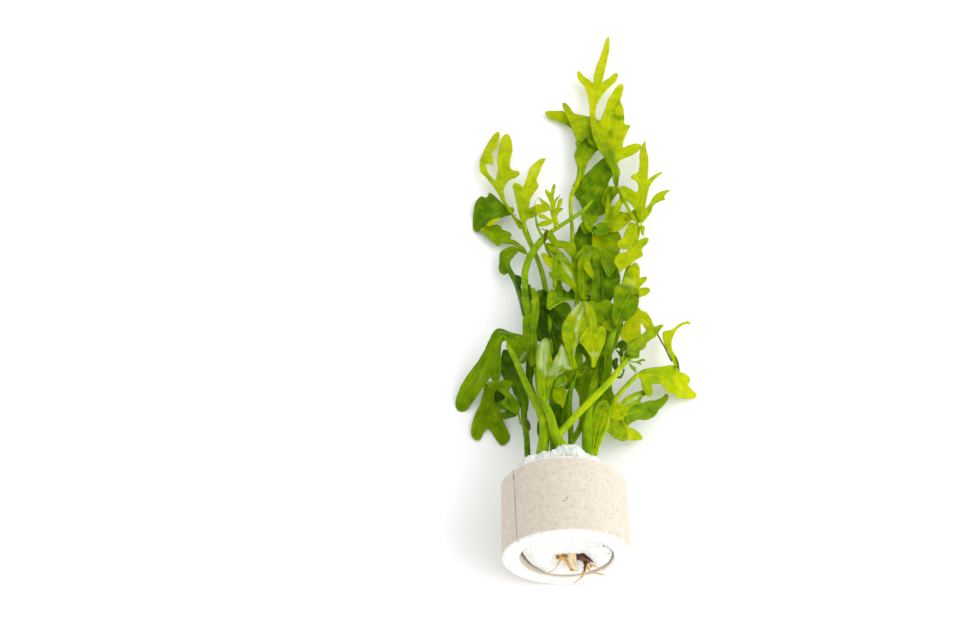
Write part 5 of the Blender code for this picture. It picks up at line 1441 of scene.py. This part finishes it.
# Folded frond
# Frond whose blade folds over at its top and hangs down to the table at the left, and a short thin stalk
# with dying leaves beside it.
frond("folded_frond", [
    stalk([
        545, 428, 23.5, 3, 540.5, 411, 21.8, 2.7, 533, 397, 20, 2.3, 524, 379, 18, 2, 516, 361, 16.4, 1.8,
        508, 346, 15.2, 1.3
    ], 0.48, crown=(-5.6, 23), spots=0.4, crown_width=3),
    blade([
        497, 328.6, 504, 329.4, 512, 332.5, 521, 334.6, 527, 338, 529, 345, 529.2, 352, 527, 360, 523, 364,
        518.5, 361.5, 514, 356, 509.5, 348, 505.5, 340.5, 503, 341.8, 501, 348.5, 501.3, 360, 501.2, 372,
        500, 378.5, 497, 381.3, 493, 381, 490.5, 377.5, 487, 382, 480, 392, 472, 403.5, 466, 410.5,
        460, 411.5, 456.3, 408, 455.5, 402, 458, 393, 462.5, 383, 469, 373, 478, 361, 485, 349, 490, 338
    ], (515, 331, 15.4), (460, 408, 0.5), 0.6, 61, tip_age=0.52, tints_and_shade=[
        505, 334, 5, 0.08, 483, 362, 6, 0.12, 470, 385, 6, -0.06, 495, 370, 5, 0.12, 461, 404, 4, 0.06
    ], wet_painted_light=[519, 362, 525, 353, 2.6, 0.6, 498, 331, 512, 333.5, 2, 0.42, 484, 372, 478, 384, 1.6, 0.36],
    veins=[
        ([508, 346, 504, 336, 496, 345, 482, 372, 464, 402], 0.55, 0.15, 14.9),
        ([508, 341, 517, 343, 524, 354], 0.35, 0.1), ([496, 345, 496, 360, 495, 376], 0.35, 0.1)
    ]),
    blade([
        486, 383.5, 492, 384.5, 496, 389, 499, 397, 500, 405, 502, 418, 507, 429, 510, 437, 507, 443,
        502.5, 445.5, 497, 441, 492, 433, 487.5, 428, 484, 432, 479, 440, 474, 439, 471, 432, 473, 420,
        476, 412, 480, 404, 483, 393
    ], (488, 386, 3), (500, 440, 0.52), 0.42, 62, tip_age=0.5, tints_and_shade=[
        484, 412, 5, 0.1, 500, 428, 5, 0.08, 492, 398, 4, 0.1
    ], wet_painted_light=[487, 405, 487, 405, 3, 0.35], veins=[
        ([488, 384, 490, 400, 495, 420, 502, 440], 0.4, 0.12), ([490, 402, 483, 418, 477, 434], 0.3, 0.1)
    ]),
    stalk([
        526.3, 422.6, 11.4, 1.9, 527, 426, 11.9, 2.1, 527.3, 428.6, 12.2, 1.9
    ], 0.9, spots=1.5),
    stalk([
        526.6, 437, 13, 1.7, 524.4, 420, 11, 1.75, 523.8, 405, 10, 1.8, 523, 396, 9.4, 1.4
    ], 0.75, crown=(-9.6, 13.6), crown_width=1.75, spots=0.3),
    stalk([
        520.5, 424, 10.4, 0.6, 518.5, 414, 10.2, 0.6, 516, 408, 10.4, 0.4
    ], 0.35),
    blade([
        527, 412, 522, 411, 519, 403, 514, 394, 511, 386.5, 505, 381, 502, 376, 501.4, 364, 501.6, 354,
        503.5, 350, 508, 350.5, 514, 360, 520.5, 375, 525, 388, 528.5, 398
    ], (526, 402, 10), (506, 358, 5.8), 0.74, 66, tip_age=0.85, tints_and_shade=[
        507, 357, 4, -0.12, 520, 395, 5, -0.1
    ], veins=[([526, 408, 520, 392, 511, 370, 504, 355], 0.5, 0.12)]),
    blade([
        519.6, 411, 517.4, 415, 512, 412, 505.5, 408, 501, 403, 505.5, 398, 502, 393.5, 496.5, 390, 491, 389,
        488, 385.5, 487.8, 381.5, 492, 381.8, 500, 380.6, 508, 380.2, 513.7, 382.3, 511.2, 387, 508.8, 391,
        514, 396.5, 519, 403
    ], (519, 412, 11.6), (495, 384, 10.8), 0.5, 67, tip_age=0.6, tints_and_shade=[
        506, 386, 4, -0.08, 510, 402, 4, 0.12
    ], veins=[
        ([518, 412, 511, 400, 503, 389.5, 492, 384], 0.45, 0.12),
        ([503, 389.5, 508, 385, 512, 383], 0.25, 0.1)
    ]),
    blade([
        494, 396, 496.5, 390, 501, 392, 505, 397.5, 501, 401, 496, 403
    ], (504, 398, 5.2), (495, 395, 4.8), 1, 68, spots=1),
    blade([
        518, 413.5, 516.5, 415.6, 512, 417.6, 506, 419.2, 501, 418.7, 499.8, 416, 502, 413, 506.5, 410.8,
        500.5, 408.6, 494, 405.3, 499.5, 401, 505, 399, 511, 404, 514.5, 408.5
    ], (523, 416, 10.2), (496, 409, 6.6), 0.72, 69, spots=0.5, veins=[
        ([517, 414, 510, 414, 502, 416.5], 0.3, 0.1), ([514, 411, 507, 406, 497, 404.5], 0.3, 0.1)
    ]),
    blade([
        538.5, 420.5, 541, 420, 542.6, 427, 543, 436, 541, 444, 538.5, 438, 537, 428
    ], (540, 420, 20.4), (541, 443, 18), 0.85, 70, spots=0.8, veins=[
        ([540, 420, 540.5, 431.5, 540.9, 439.6], 0.35, 0.1)
    ]),
    blade([
        528, 345, 533, 344, 537, 340, 537.5, 352, 536.3, 365, 534, 374, 532.4, 381, 535.5, 392, 538, 399.5,
        533, 397, 529, 388, 526, 375, 526.4, 360
    ], (534, 395, 6.4), (532, 348, 5.6), 0.82, 71, wave=0.3, veins=[
        ([534, 395, 530, 375, 532, 350], 0.4, 0.1)
    ]),
], [
    "folded_stalk", "folded_blade", "folded_hanging_blade", "thin_stalk", "thin_dark_blade",
    "thin_green_blade", "thin_olive_blade", "crown_hanging_blade"
])


# Broad frond
# Short stalk with a broad two-lobed leaf streaked with painted highlights, and the small curled leaves
# beside it.
frond("broad_frond", [
    stalk([
        554, 430, 26, 2.5, 549.6, 414, 25.2, 2.3, 545, 404.5, 24.6, 1.7, 543, 398, 24.4, 1.2
    ], 0.52, crown=(-1, 24.6), crown_width=2.5),
    blade([
        545, 405, 541.5, 402, 538.6, 398, 537, 388, 536.6, 376, 535.9, 364, 536, 353, 539.5, 343.5, 545, 338,
        548.3, 339.5, 550.4, 352, 552.5, 361.6, 557, 354, 561.8, 343, 566, 350, 570, 361, 572.6, 369.4,
        566, 370.5, 560, 373.5, 555, 379, 550.5, 390, 548.5, 399
    ], (547, 402, 24.2), (552, 342, 21.4), 0.44, 73, arch=0.8, wet_painted_light=[
        544, 344, 542.5, 362, 6.4, 0.75, 542, 368, 546, 374, 4, 0.45, 562, 349, 564.5, 362, 5, 0.75,
        557, 358, 552, 374, 3, 0.55, 566, 367, 571, 369, 2.6, 0.6, 560, 363, 556.6, 375, 2.4, 0.5
    ], tints_and_shade=[546, 392, 6, 0.08, 551, 366, 4, 0.12], veins=[
        ([545.5, 402, 544, 388, 544, 372, 543.5, 356, 545, 342], 0.5, 0.12),
        ([546.5, 384, 554, 368, 561, 350], 0.4, 0.12), ([547, 386, 557, 372, 568, 364], 0.3, 0.1)
    ]),
    blade([
        563, 408.6, 560, 405, 555.5, 402.5, 552.6, 398, 554, 388, 558, 386.5, 565, 387.5, 566.6, 392,
        565.6, 400
    ], (562, 407, 22.4), (560, 388, 19.6), 0.32, 74, spots=0.3, veins=[
        ([562, 407, 561, 397.5, 560.3, 390.9], 0.35, 0.1)
    ]),
    blade([
        554.5, 388, 554, 382, 557, 377, 562, 374, 566, 376, 566.8, 383, 563.5, 386.5, 558.5, 388.6
    ], (565, 384, 19.2), (557, 380, 19.6), 0.44, 75, wave=0.4, wet_painted_light=[
        557, 387, 566, 384, 1.2, 0.5, 559, 379, 561, 384, 1.4, 0.42
    ]),
    blade([
        564, 381, 569, 378, 577, 376.5, 579, 382, 576, 388, 571.6, 387, 567.5, 389.5, 564.6, 387
    ], (566, 386, 15), (577, 380, 15), 0.74, 76, spots=0.8, wet_painted_light=[567.4, 385.4, 569, 383.4, 0.7, 0.6]),
    blade([
        554.6, 403, 558, 402.6, 563, 408, 565.6, 404, 567, 412, 566, 428, 560, 441, 555.6, 437, 552.6, 425,
        553.6, 413
    ], (560, 440, 11.6), (560, 405, 12.4), 0.68, 77, veins=[([560, 438, 559, 420, 560, 407], 0.4, 0.1)]),
    blade([
        562.5, 386.5, 560, 380.5, 560.6, 375, 565, 371, 571, 369, 579, 368.4, 584.7, 371, 584.3, 373.4,
        579.5, 376.4, 572, 380.4, 567, 384.8
    ], (563, 383, 16.4), (584, 372, 18.8), 0.34, 78, tints_and_shade=[566, 376, 2, 0.12], veins=[
        ([564, 384, 571, 375, 582, 371.5], 0.35, 0.1)
    ]),
], ["broad_stalk", "broad_blade", "broad_yellow_blade", "broad_low_blade"])


# Glossy frond
# Large leaf folded along its middle, on a dark stalk, over the middle of the plant. Its left half is
# streaked with painted highlights.
frond("glossy_frond", [
    stalk([
        570.5, 425, 18, 1.6, 569.4, 408, 18.4, 1.5, 570, 395, 18.8, 1.4, 572.6, 384, 19.4, 1.3,
        577, 372, 20.2, 1.1
    ], 0.72, crown=(2.6, 19.6), crown_width=1.6),
    blade([
        575, 387, 577, 379, 582, 373, 590, 368, 596, 360, 597, 350, 598, 340, 596, 330, 600, 322, 608, 322,
        616, 327, 617.5, 340, 612, 355, 610.5, 365, 611.6, 378, 612, 389, 614.5, 398, 608, 408, 598, 420,
        594, 434, 588, 444, 583.6, 440, 581.4, 428, 579, 412, 580, 401, 577.6, 393
    ], (584, 425, 13.4), (606, 345, 10), 0.54, 80, tip_age=0.56, wave=0.4, tints_and_shade=[
        606, 332, 6, -0.1, 602, 368, 4, 0.3, 599, 378, 4, 0.25, 584, 395, 7, 0.08, 591, 372, 4, -0.14,
        595, 404, 5, -0.08, 610, 395, 5, -0.1
    ], veins=[
        ([583, 430, 588, 400, 600, 365, 609, 330], 0.4, 0.12), ([588, 404, 590, 385, 592, 372], 0.3, 0.1),
        ([590, 420, 597, 402, 606, 384], 0.3, 0.1)
    ]),
    blade([
        588, 398, 588.6, 389, 592, 378, 596, 368, 600, 357, 605, 348.6, 610, 349, 612, 357, 611.6, 372,
        606.6, 384, 598, 394, 592, 400
    ], (592, 398, 18.6), (607, 351, 18.4), 0.54, 81, tints_and_shade=[589, 388, 5, -0.14, 608, 362, 5, 0.06], veins=[
        ([592, 396, 600, 378, 607, 352], 0.3, 0.1)
    ]),
    blade([
        596.6, 394, 598.6, 384, 599.4, 370, 601.4, 357, 604, 354, 604.2, 365, 602, 377, 599.8, 387
    ], (598, 393, 19.3), (602.6, 356, 19.2), 0.92, 82),
    blade([
        563, 408, 566, 398, 569.5, 388, 573, 385.5, 572, 395, 571.5, 404, 572, 412, 568, 420, 562, 424,
        558.5, 428, 559.5, 418
    ], (561, 424, 14), (571, 388, 12), 0.66, 83, spots=0.8, marks=[570, 407, 3, 0.7, 562, 412, 2.5, 0.4],
    veins=[
        ([561, 424, 566, 408, 571, 390], 0.4, 0.1)
    ]),
    blade([
        577.3, 368, 573, 369, 570.2, 363, 567, 353, 563.8, 344, 562, 336, 562, 327, 566, 318, 574, 308,
        584.4, 301, 588.3, 303.5, 590, 312, 590, 322, 588, 327.6, 584, 334, 579.5, 341, 575.6, 347.5,
        574.2, 353, 575.7, 360
    ], (576, 368, 21.8), (580, 304, 18.6), 0.36, 84, arch=2, wet_painted_light=[
        579, 303, 573, 314, 3.1, 0.74, 584.6, 306.5, 579.5, 318, 2.1, 0.72,
        579.5, 318, 576.5, 330, 2.6, 0.68, 576.5, 330, 577, 339, 1.9, 0.62, 577.6, 341, 574.6, 350, 1.3, 0.56
    ], tints_and_shade=[566, 330, 5, 0.12, 574, 352, 4, 0.15, 584, 320, 4, -0.1], veins=[
        ([574.5, 366, 573, 352, 576, 336, 582, 318, 585.5, 304], 0.5, 0.12)
    ]),
    blade([
        584.2, 301.3, 589, 303.6, 594, 310.6, 596, 318, 597, 329.2, 599, 327, 602.3, 325.4, 606, 331,
        605, 341.5, 601, 352, 597, 361, 594.5, 367, 591.8, 367.4, 591, 360, 588, 353, 583.6, 347, 579.5, 341,
        584, 334, 588, 327.5, 586, 318, 584.6, 308
    ], (593, 366, 22.4), (588, 304, 19.2), 0.27, 85, arch=1.8, wet_painted_light=[
        592, 354.5, 597, 354.5, 3.2, 0.7, 586, 303, 588, 306, 1.6, 0.45, 592.5, 362, 594.5, 358, 1.2, 0.4,
        585, 318, 586.5, 308, 1, 0.36
    ], marks=[595, 357.4, 1, 1.6, 597.2, 352.2, 0.9, 1.4], tints_and_shade=[
        588, 325, 4, 0.12, 600, 345, 4, -0.06, 583, 343, 4, 0.12
    ], veins=[
        ([593, 364, 592, 345, 591, 325, 588, 308], 0.45, 0.12), ([592.5, 352, 597, 343, 602, 330], 0.3, 0.1)
    ]),
    stalk([
        588, 327, 23.6, 0.2, 584.3, 333.4, 23.9, 0.34, 580, 340, 23.9, 0.3
    ], 0.24),
    blade([
        576, 348, 579, 343.4, 583.6, 347, 588, 353, 591, 360, 592, 367, 588.5, 371, 583, 369.6, 578, 368.6,
        577, 365.6, 582, 364, 585.4, 358.8, 583, 354.4, 578.5, 353.2, 575, 354
    ], (586, 369, 20), (580, 345, 20), 0.66, 87, wet_painted_light=[586, 367, 587, 368.5, 0.9, 0.5]),
    blade([
        575.2, 354.6, 578, 353.4, 580.6, 355, 581, 361.5, 577.2, 365.4, 575.9, 361
    ], (577, 364, 19), (578, 355, 19.2), 0.42, 88),
], ["dark_stalk", "glossy_blade"])


# Diagonal frond
# Yellow-green stalk that crosses over the others to the right, with the blades at its end and curled dark
# croziers and ferny leaflets at the joint.
frond("diagonal_frond", [
    stalk([
        558.5, 437, 23, 2, 566, 426.5, 22.6, 2.05, 590, 401.5, 22.2, 2.1, 609.5, 382, 21.2, 1.9,
        619, 369.5, 19.6, 1.7, 626, 362, 18.8, 1.5
    ], 0.3, crown=(1.6, 23.4), tip_age=0.38, spots=0.5, crown_width=2.1),
    blade([
        627, 362, 624.6, 361, 623.8, 357, 625, 351, 630, 344, 638, 338, 646, 331, 652, 326.5, 657, 326,
        660.5, 324.3, 664, 325.3, 660.4, 329.5, 657.4, 335, 651, 340, 646.4, 343.5, 645.3, 347.6, 640, 350.5,
        638.6, 358, 632.5, 358.6
    ], (625, 359, 18.4), (662, 326, 9.8), 0.45, 90, arch=0.8, tip_age=0.35, veins=[
        ([625, 361, 634, 350, 645, 338, 658, 328], 0.5, 0.12), ([634, 350, 637, 353, 637.5, 357], 0.25, 0.1)
    ]),
    blade([
        630, 354, 626, 352.5, 625.6, 345, 622, 340, 620.6, 334, 622.6, 326, 627, 319.5, 632, 315,
        637.5, 306.3, 641, 310, 646.5, 312.5, 651, 318.5, 653.6, 325.5, 656, 329, 650, 334.5, 646.2, 336,
        646, 330.2, 641, 323, 640.8, 331, 641.5, 336.5, 638, 345
    ], (629, 352, 14), (640, 309, 7), 0.1, 91, tip_age=0.12, veins=[
        ([630, 350, 631, 335, 637, 318, 639, 311], 0.4, 0.1), ([639, 316, 647, 320, 651, 327], 0.3, 0.1)
    ]),
    blade([
        625.6, 353, 627, 345, 632, 340, 640, 337.5, 646, 337, 646, 343.5, 645, 348, 639.5, 351, 637, 355,
        631, 356
    ], (628, 354, 18.6), (643, 341, 14.6), 0.55, 92, veins=[([628, 354, 635, 347, 643, 341], 0.3, 0.1)]),
    stalk([
        622, 368, 17.8, 1, 621.8, 360, 18.2, 1.1, 621.6, 352.5, 18.8, 1
    ], 0.52),
    stalk([
        622, 355.5, 18.9, 0.8, 621.8, 351, 19, 1.2, 624, 348, 19, 1.6, 624.6, 345, 19, 1.7,
        622.4, 342.9, 19, 1.7, 620.6, 344.2, 18.8, 1.6, 620.8, 346.6, 18.7, 1.4, 622.6, 346.6, 18.8, 1
    ], 0.97),
    stalk([
        620.6, 344.6, 18.6, 1, 617.8, 346, 18.5, 0.8, 616, 348, 18.3, 0.6
    ], 0.92),
    stalk([
        620.4, 356.4, 18.3, 0.5, 619.4, 353, 18.4, 0.8, 616.8, 350.6, 18.4, 0.5
    ], 0.92),
    stalk([
        621, 347, 18.4, 0.4, 616, 348, 18.2, 0.4, 609, 351.5, 17.6, 0.35, 601, 357.5, 17, 0.25
    ], 0.45),
    stalk([
        617, 371, 17.2, 0.9, 615.4, 366.5, 17.4, 1.5, 615, 362, 17.4, 1.7, 616.6, 359.6, 17.4, 1.1
    ], 0.95),
    stalk([
        624, 369.5, 17.4, 0.5, 622.8, 373.5, 17, 0.6, 620.6, 377, 16.8, 0.8, 617.8, 377.3, 16.8, 0.7
    ], 0.93),
    blade([
        629, 360.2, 636, 361, 640, 359.8, 643.4, 358.8, 646.2, 360.6, 642.6, 361, 640, 362.2, 642.6, 364.8,
        639.6, 364.2, 636, 362.6, 631.6, 362.4
    ], (629, 361.5, 18.2), (645, 361, 17), 0.5, 100, fold=0.1, veins=[
        ([629, 361.5, 637, 361.6, 645, 360.6], 0.3, 0.1)
    ]),
    blade([
        629.4, 362.6, 632.6, 365.6, 637, 368, 635.6, 369.4, 638, 372.6, 634.6, 371.8, 631.4, 368.6,
        629.8, 366
    ], (629.5, 363.5, 17.6), (637, 372, 15.6), 0.45, 101, fold=0.1, veins=[
        ([629.6, 363.6, 632.5, 368, 637, 372], 0.3, 0.1)
    ]),
    stalk([
        625, 361, 18.2, 0.5, 628, 356.6, 18, 0.4, 632, 353.4, 17.6, 0.3
    ], 0.85),
], ["diagonal_stalk", "diagonal_blade", "yellow_blade"])


# Side frond
# Low frond at the right: a thin stalk with the large right leaf and its hooked tip, and the leaves that
# spread from the crown over the ring.
frond("side_frond", [
    stalk([
        604, 430, 17.4, 1.75, 609.5, 412, 16.6, 1.7, 615.5, 399, 15.6, 1.4, 626, 386.6, 14, 1.35,
        637, 375.5, 12.9, 1.3
    ], 0.46, crown=(9.3, 17.4), tip_age=0.4, crown_width=1.7),
    blade([
        637.5, 377, 638.8, 372.5, 644.6, 369, 657.4, 367, 665, 366, 674, 365.3, 679, 371, 686, 374.2,
        690.4, 379.6, 688.3, 385, 692.5, 390, 696.6, 395.4, 694, 398.6, 686, 398.3, 680.4, 398.6,
        674.4, 394.4, 669, 393, 664.7, 388, 660.4, 383.8, 655, 384, 652.3, 384, 652.6, 390, 652.3, 395.2,
        649.5, 396.8, 646, 394.5, 642.7, 389.5, 641.5, 383, 639.6, 378.4
    ], (638.5, 376, 12.4), (696, 396, 0.4), 0.36, 104, arch=1.2, tip_age=0.08, tints_and_shade=[
        657, 378, 5, 0.16, 668, 372, 5, 0.08, 648, 388, 4, -0.05
    ], veins=[
        ([637, 376, 650, 374.5, 668, 380, 690, 393], 0.5, 0.12, 12.9),
        ([641, 377, 646, 384, 650, 393], 0.35, 0.1), ([660, 377, 672, 374, 686, 379], 0.3, 0.1)
    ]),
    blade([
        678.8, 369.5, 674.5, 365.6, 671.5, 359, 668, 351, 664.3, 344, 662.8, 337, 663.2, 331.7, 666, 330.7,
        670, 330.2, 674, 328, 679.7, 323.7, 684.6, 321.6, 688.5, 321.4, 691, 323.4, 690, 324.4, 685.4, 324.2,
        680, 327, 675.8, 331.6, 672.6, 338, 671.6, 345, 672.8, 351, 676.6, 357, 678.4, 363.6
    ], (676, 366, 8.4), (690, 323, 4), 0.14, 105, tip_age=0.14, veins=[
        ([676, 366, 671, 352, 668, 340, 675, 330, 687, 322.6], 0.35, 0.1)
    ]),
    stalk([
        671.5, 361, 8.2, 0.5, 668.6, 355, 8, 0.55, 664.5, 346.5, 8.2, 0.5, 660.6, 340, 8.6, 0.5,
        657.2, 333.5, 9.2, 0.45
    ], 0.6, spots=1.6),
    stalk([
        679, 370.5, 8.8, 0.4, 678, 363, 8.6, 0.5, 676, 357.6, 8.2, 0.4
    ], 0.8),
    blade([
        588.8, 457, 589.6, 446, 590.8, 430, 592.3, 415, 596, 405, 601, 400.4, 606, 400, 609.2, 404.5,
        609, 411.5, 605.5, 422, 601.5, 433, 598, 445, 595.7, 457
    ], (592, 456, 22), (605, 402, 20.4), 0.42, 108, spots=0.9, marks=[
        602, 407, 2.8, 0.6, 597, 440, 2, 0.3
    ], veins=[
        ([592, 456, 595.5, 432, 600.5, 415, 604.5, 404], 0.5, 0.2),
        ([594.5, 454, 599, 435, 604, 420, 607, 408], 0.35, 0.15)
    ]),
    blade([
        611, 419.5, 611.5, 408, 614.5, 399.6, 618.6, 402, 622, 404.6, 628.6, 407, 627.2, 413.5, 623, 418.6,
        617, 420.4
    ], (612, 418, 17), (625, 405, 16.6), 0.24, 109, spots=0.5, veins=[
        ([612, 418, 617, 411, 624, 407], 0.35, 0.1)
    ]),
    blade([
        624.5, 418.5, 625, 412, 629, 406.5, 634, 404, 641, 403, 650, 400.6, 656, 400, 662, 397.5, 666, 393.7,
        668.2, 396, 667, 401, 664, 405, 659, 410, 656.6, 414, 651, 418.5, 646, 420, 640, 419.6, 634, 421,
        629.4, 424.2, 626, 424
    ], (625, 416, 13.8), (667, 396, 3.4), 0.54, 110, tip_age=0.5, tints_and_shade=[
        632, 412, 5, -0.12, 650, 412, 5, 0.08
    ], veins=[([622, 417, 635, 412, 650, 409.5, 666, 396.5], 0.4, 0.1)]),
    blade([
        613.5, 411, 618, 406, 621, 402.5, 624, 398.6, 630, 394.8, 640, 391, 645.5, 390, 648.2, 390.8,
        646.2, 394.5, 642.4, 397.4, 640.6, 401, 641, 403.2, 634, 405, 629, 409.5, 625, 413, 618, 414
    ], (614, 411, 17.4), (646, 391, 9), 0.24, 111, tip_age=0.45, wet_painted_light=[
        625, 404.5, 636, 399, 2.2, 0.56, 634, 398, 641, 396, 1.8, 0.5
    ], marks=[627, 406.4, 1.2, 1.8], tints_and_shade=[620, 410, 4, 0.1], veins=[
        ([615, 411.5, 626, 402, 636, 396.6, 646, 391.6], 0.35, 0.1)
    ]),
    blade([
        604.5, 428, 607.6, 424, 610, 420.5, 615, 419.6, 620.4, 420, 624, 424.5, 626.6, 431, 628.2, 438,
        624, 441.2, 619, 440, 613, 437.2, 609, 433.5
    ], (607, 420, 15.4), (624, 439, 8.4), 0.36, 112, spots=0.4, tints_and_shade=[
        612, 432, 4, 0.15, 622, 430, 4, -0.1
    ], veins=[([607, 426, 614, 429, 622, 436], 0.3, 0.1), ([611, 434, 617, 431, 625, 427], 0.2, 0.15)]),
    blade([
        612, 423, 620, 418.6, 628, 415.4, 634, 417.8, 640, 419.6, 634, 421.6, 629.6, 424.2, 628.6, 427.4,
        632, 428.4, 637, 431, 641.5, 435.6, 642.2, 439.4, 634, 440.6, 628.6, 440, 626, 434, 622, 429
    ], (609, 425, 12.6), (641, 437, 2.4), 0.16, 113, veins=[
        ([612, 423.5, 624, 425, 632, 432, 640, 438], 0.35, 0.1)
    ]),
], [
    "side_stalk", "side_large_blade", "side_hook_blade", "side_ribbed_blade", "side_dark_blade",
    "side_light_blade", "side_olive_blade", "side_yellow_blade"
])


# Plantlets
# Two young ferny plantlets that sprout on the bow of the curved stalk, each with a hair-thin stem, and
# the spent thread of an old one.
frond("plantlets", [
    blade([
        558, 226.5, 555.2, 224, 553.2, 217, 551.6, 210, 550.2, 203.5, 547.4, 197, 545, 190.8, 545.8, 189.2,
        548.4, 191, 550.8, 193.6, 551.4, 190, 553.2, 184.5, 554.8, 183.6, 555.4, 186, 554.8, 191.5,
        553.6, 196.5, 554.2, 200.5, 556.6, 197.4, 560.4, 194.6, 558.8, 198, 556, 203, 555.4, 208.5,
        556.8, 206.5, 558, 201.5, 560.5, 198.6, 562.6, 198.4, 562, 203, 559.6, 207.4, 563.8, 208.2,
        561.6, 210.8, 558.4, 213.4, 557.4, 218.5, 559, 224.5
    ], (556, 223, 10.5), (554, 185, 8.6), 0.26, 114, fold=0.1, veins=[
        ([557.5, 227, 555.5, 218, 553.4, 206, 551.8, 198, 554, 186], 0.4, 0.1),
        ([552, 201, 549, 195, 546, 190.5], 0.2, 0.08), ([556.8, 213, 559.5, 206, 561.8, 200], 0.2, 0.08)
    ]),
    blade([
        551.5, 231, 554.2, 226.5, 553.4, 222.4, 551, 223.8, 546, 226, 541, 226.6, 537.8, 225.4, 540, 222.4,
        545, 220.4, 549.6, 220.8, 546, 219.4, 540, 217.6, 536.8, 214, 543, 214.3, 548, 217.4, 552, 220,
        550.6, 214.5, 549, 210.4, 545, 212.2, 541, 213, 538, 216, 534.4, 214, 534.4, 206.4, 537, 204.6,
        541.6, 204.2, 540.4, 201, 538.4, 196.5, 543, 200, 549, 204.4, 550.8, 207.6, 552.6, 214, 554.8, 221,
        555.8, 226.5, 553.5, 231.5
    ], (549, 228, 10.5), (538, 206, 9.4), 0.26, 115, fold=0.1, veins=[
        ([553, 231, 553.8, 223, 551, 212, 547.6, 205.4, 540.5, 199], 0.3, 0.1),
        ([552, 221.5, 546, 223.4, 540, 225], 0.2, 0.08), ([549.6, 209, 543, 208, 537, 209.6], 0.25, 0.08)
    ]),
    stalk([
        543.8, 238, 9.8, 0.7, 540.4, 233, 10.2, 0.75, 537.6, 226.5, 10.4, 0.75, 536, 219, 10.4, 0.7,
        535.2, 212, 10.4, 0.4, 534.6, 206, 10.6, 0.25, 535.4, 201.5, 10.8, 0.16, 538.4, 197.4, 11, 0.12
    ], 0.6, spots=0.4),
    stalk([
        541, 229.4, 10.8, 0.2, 543.5, 229.2, 11, 0.4, 545.5, 231, 10.8, 0.5
    ], 0.55),
], ["plantlet_far", "plantlet_near"])
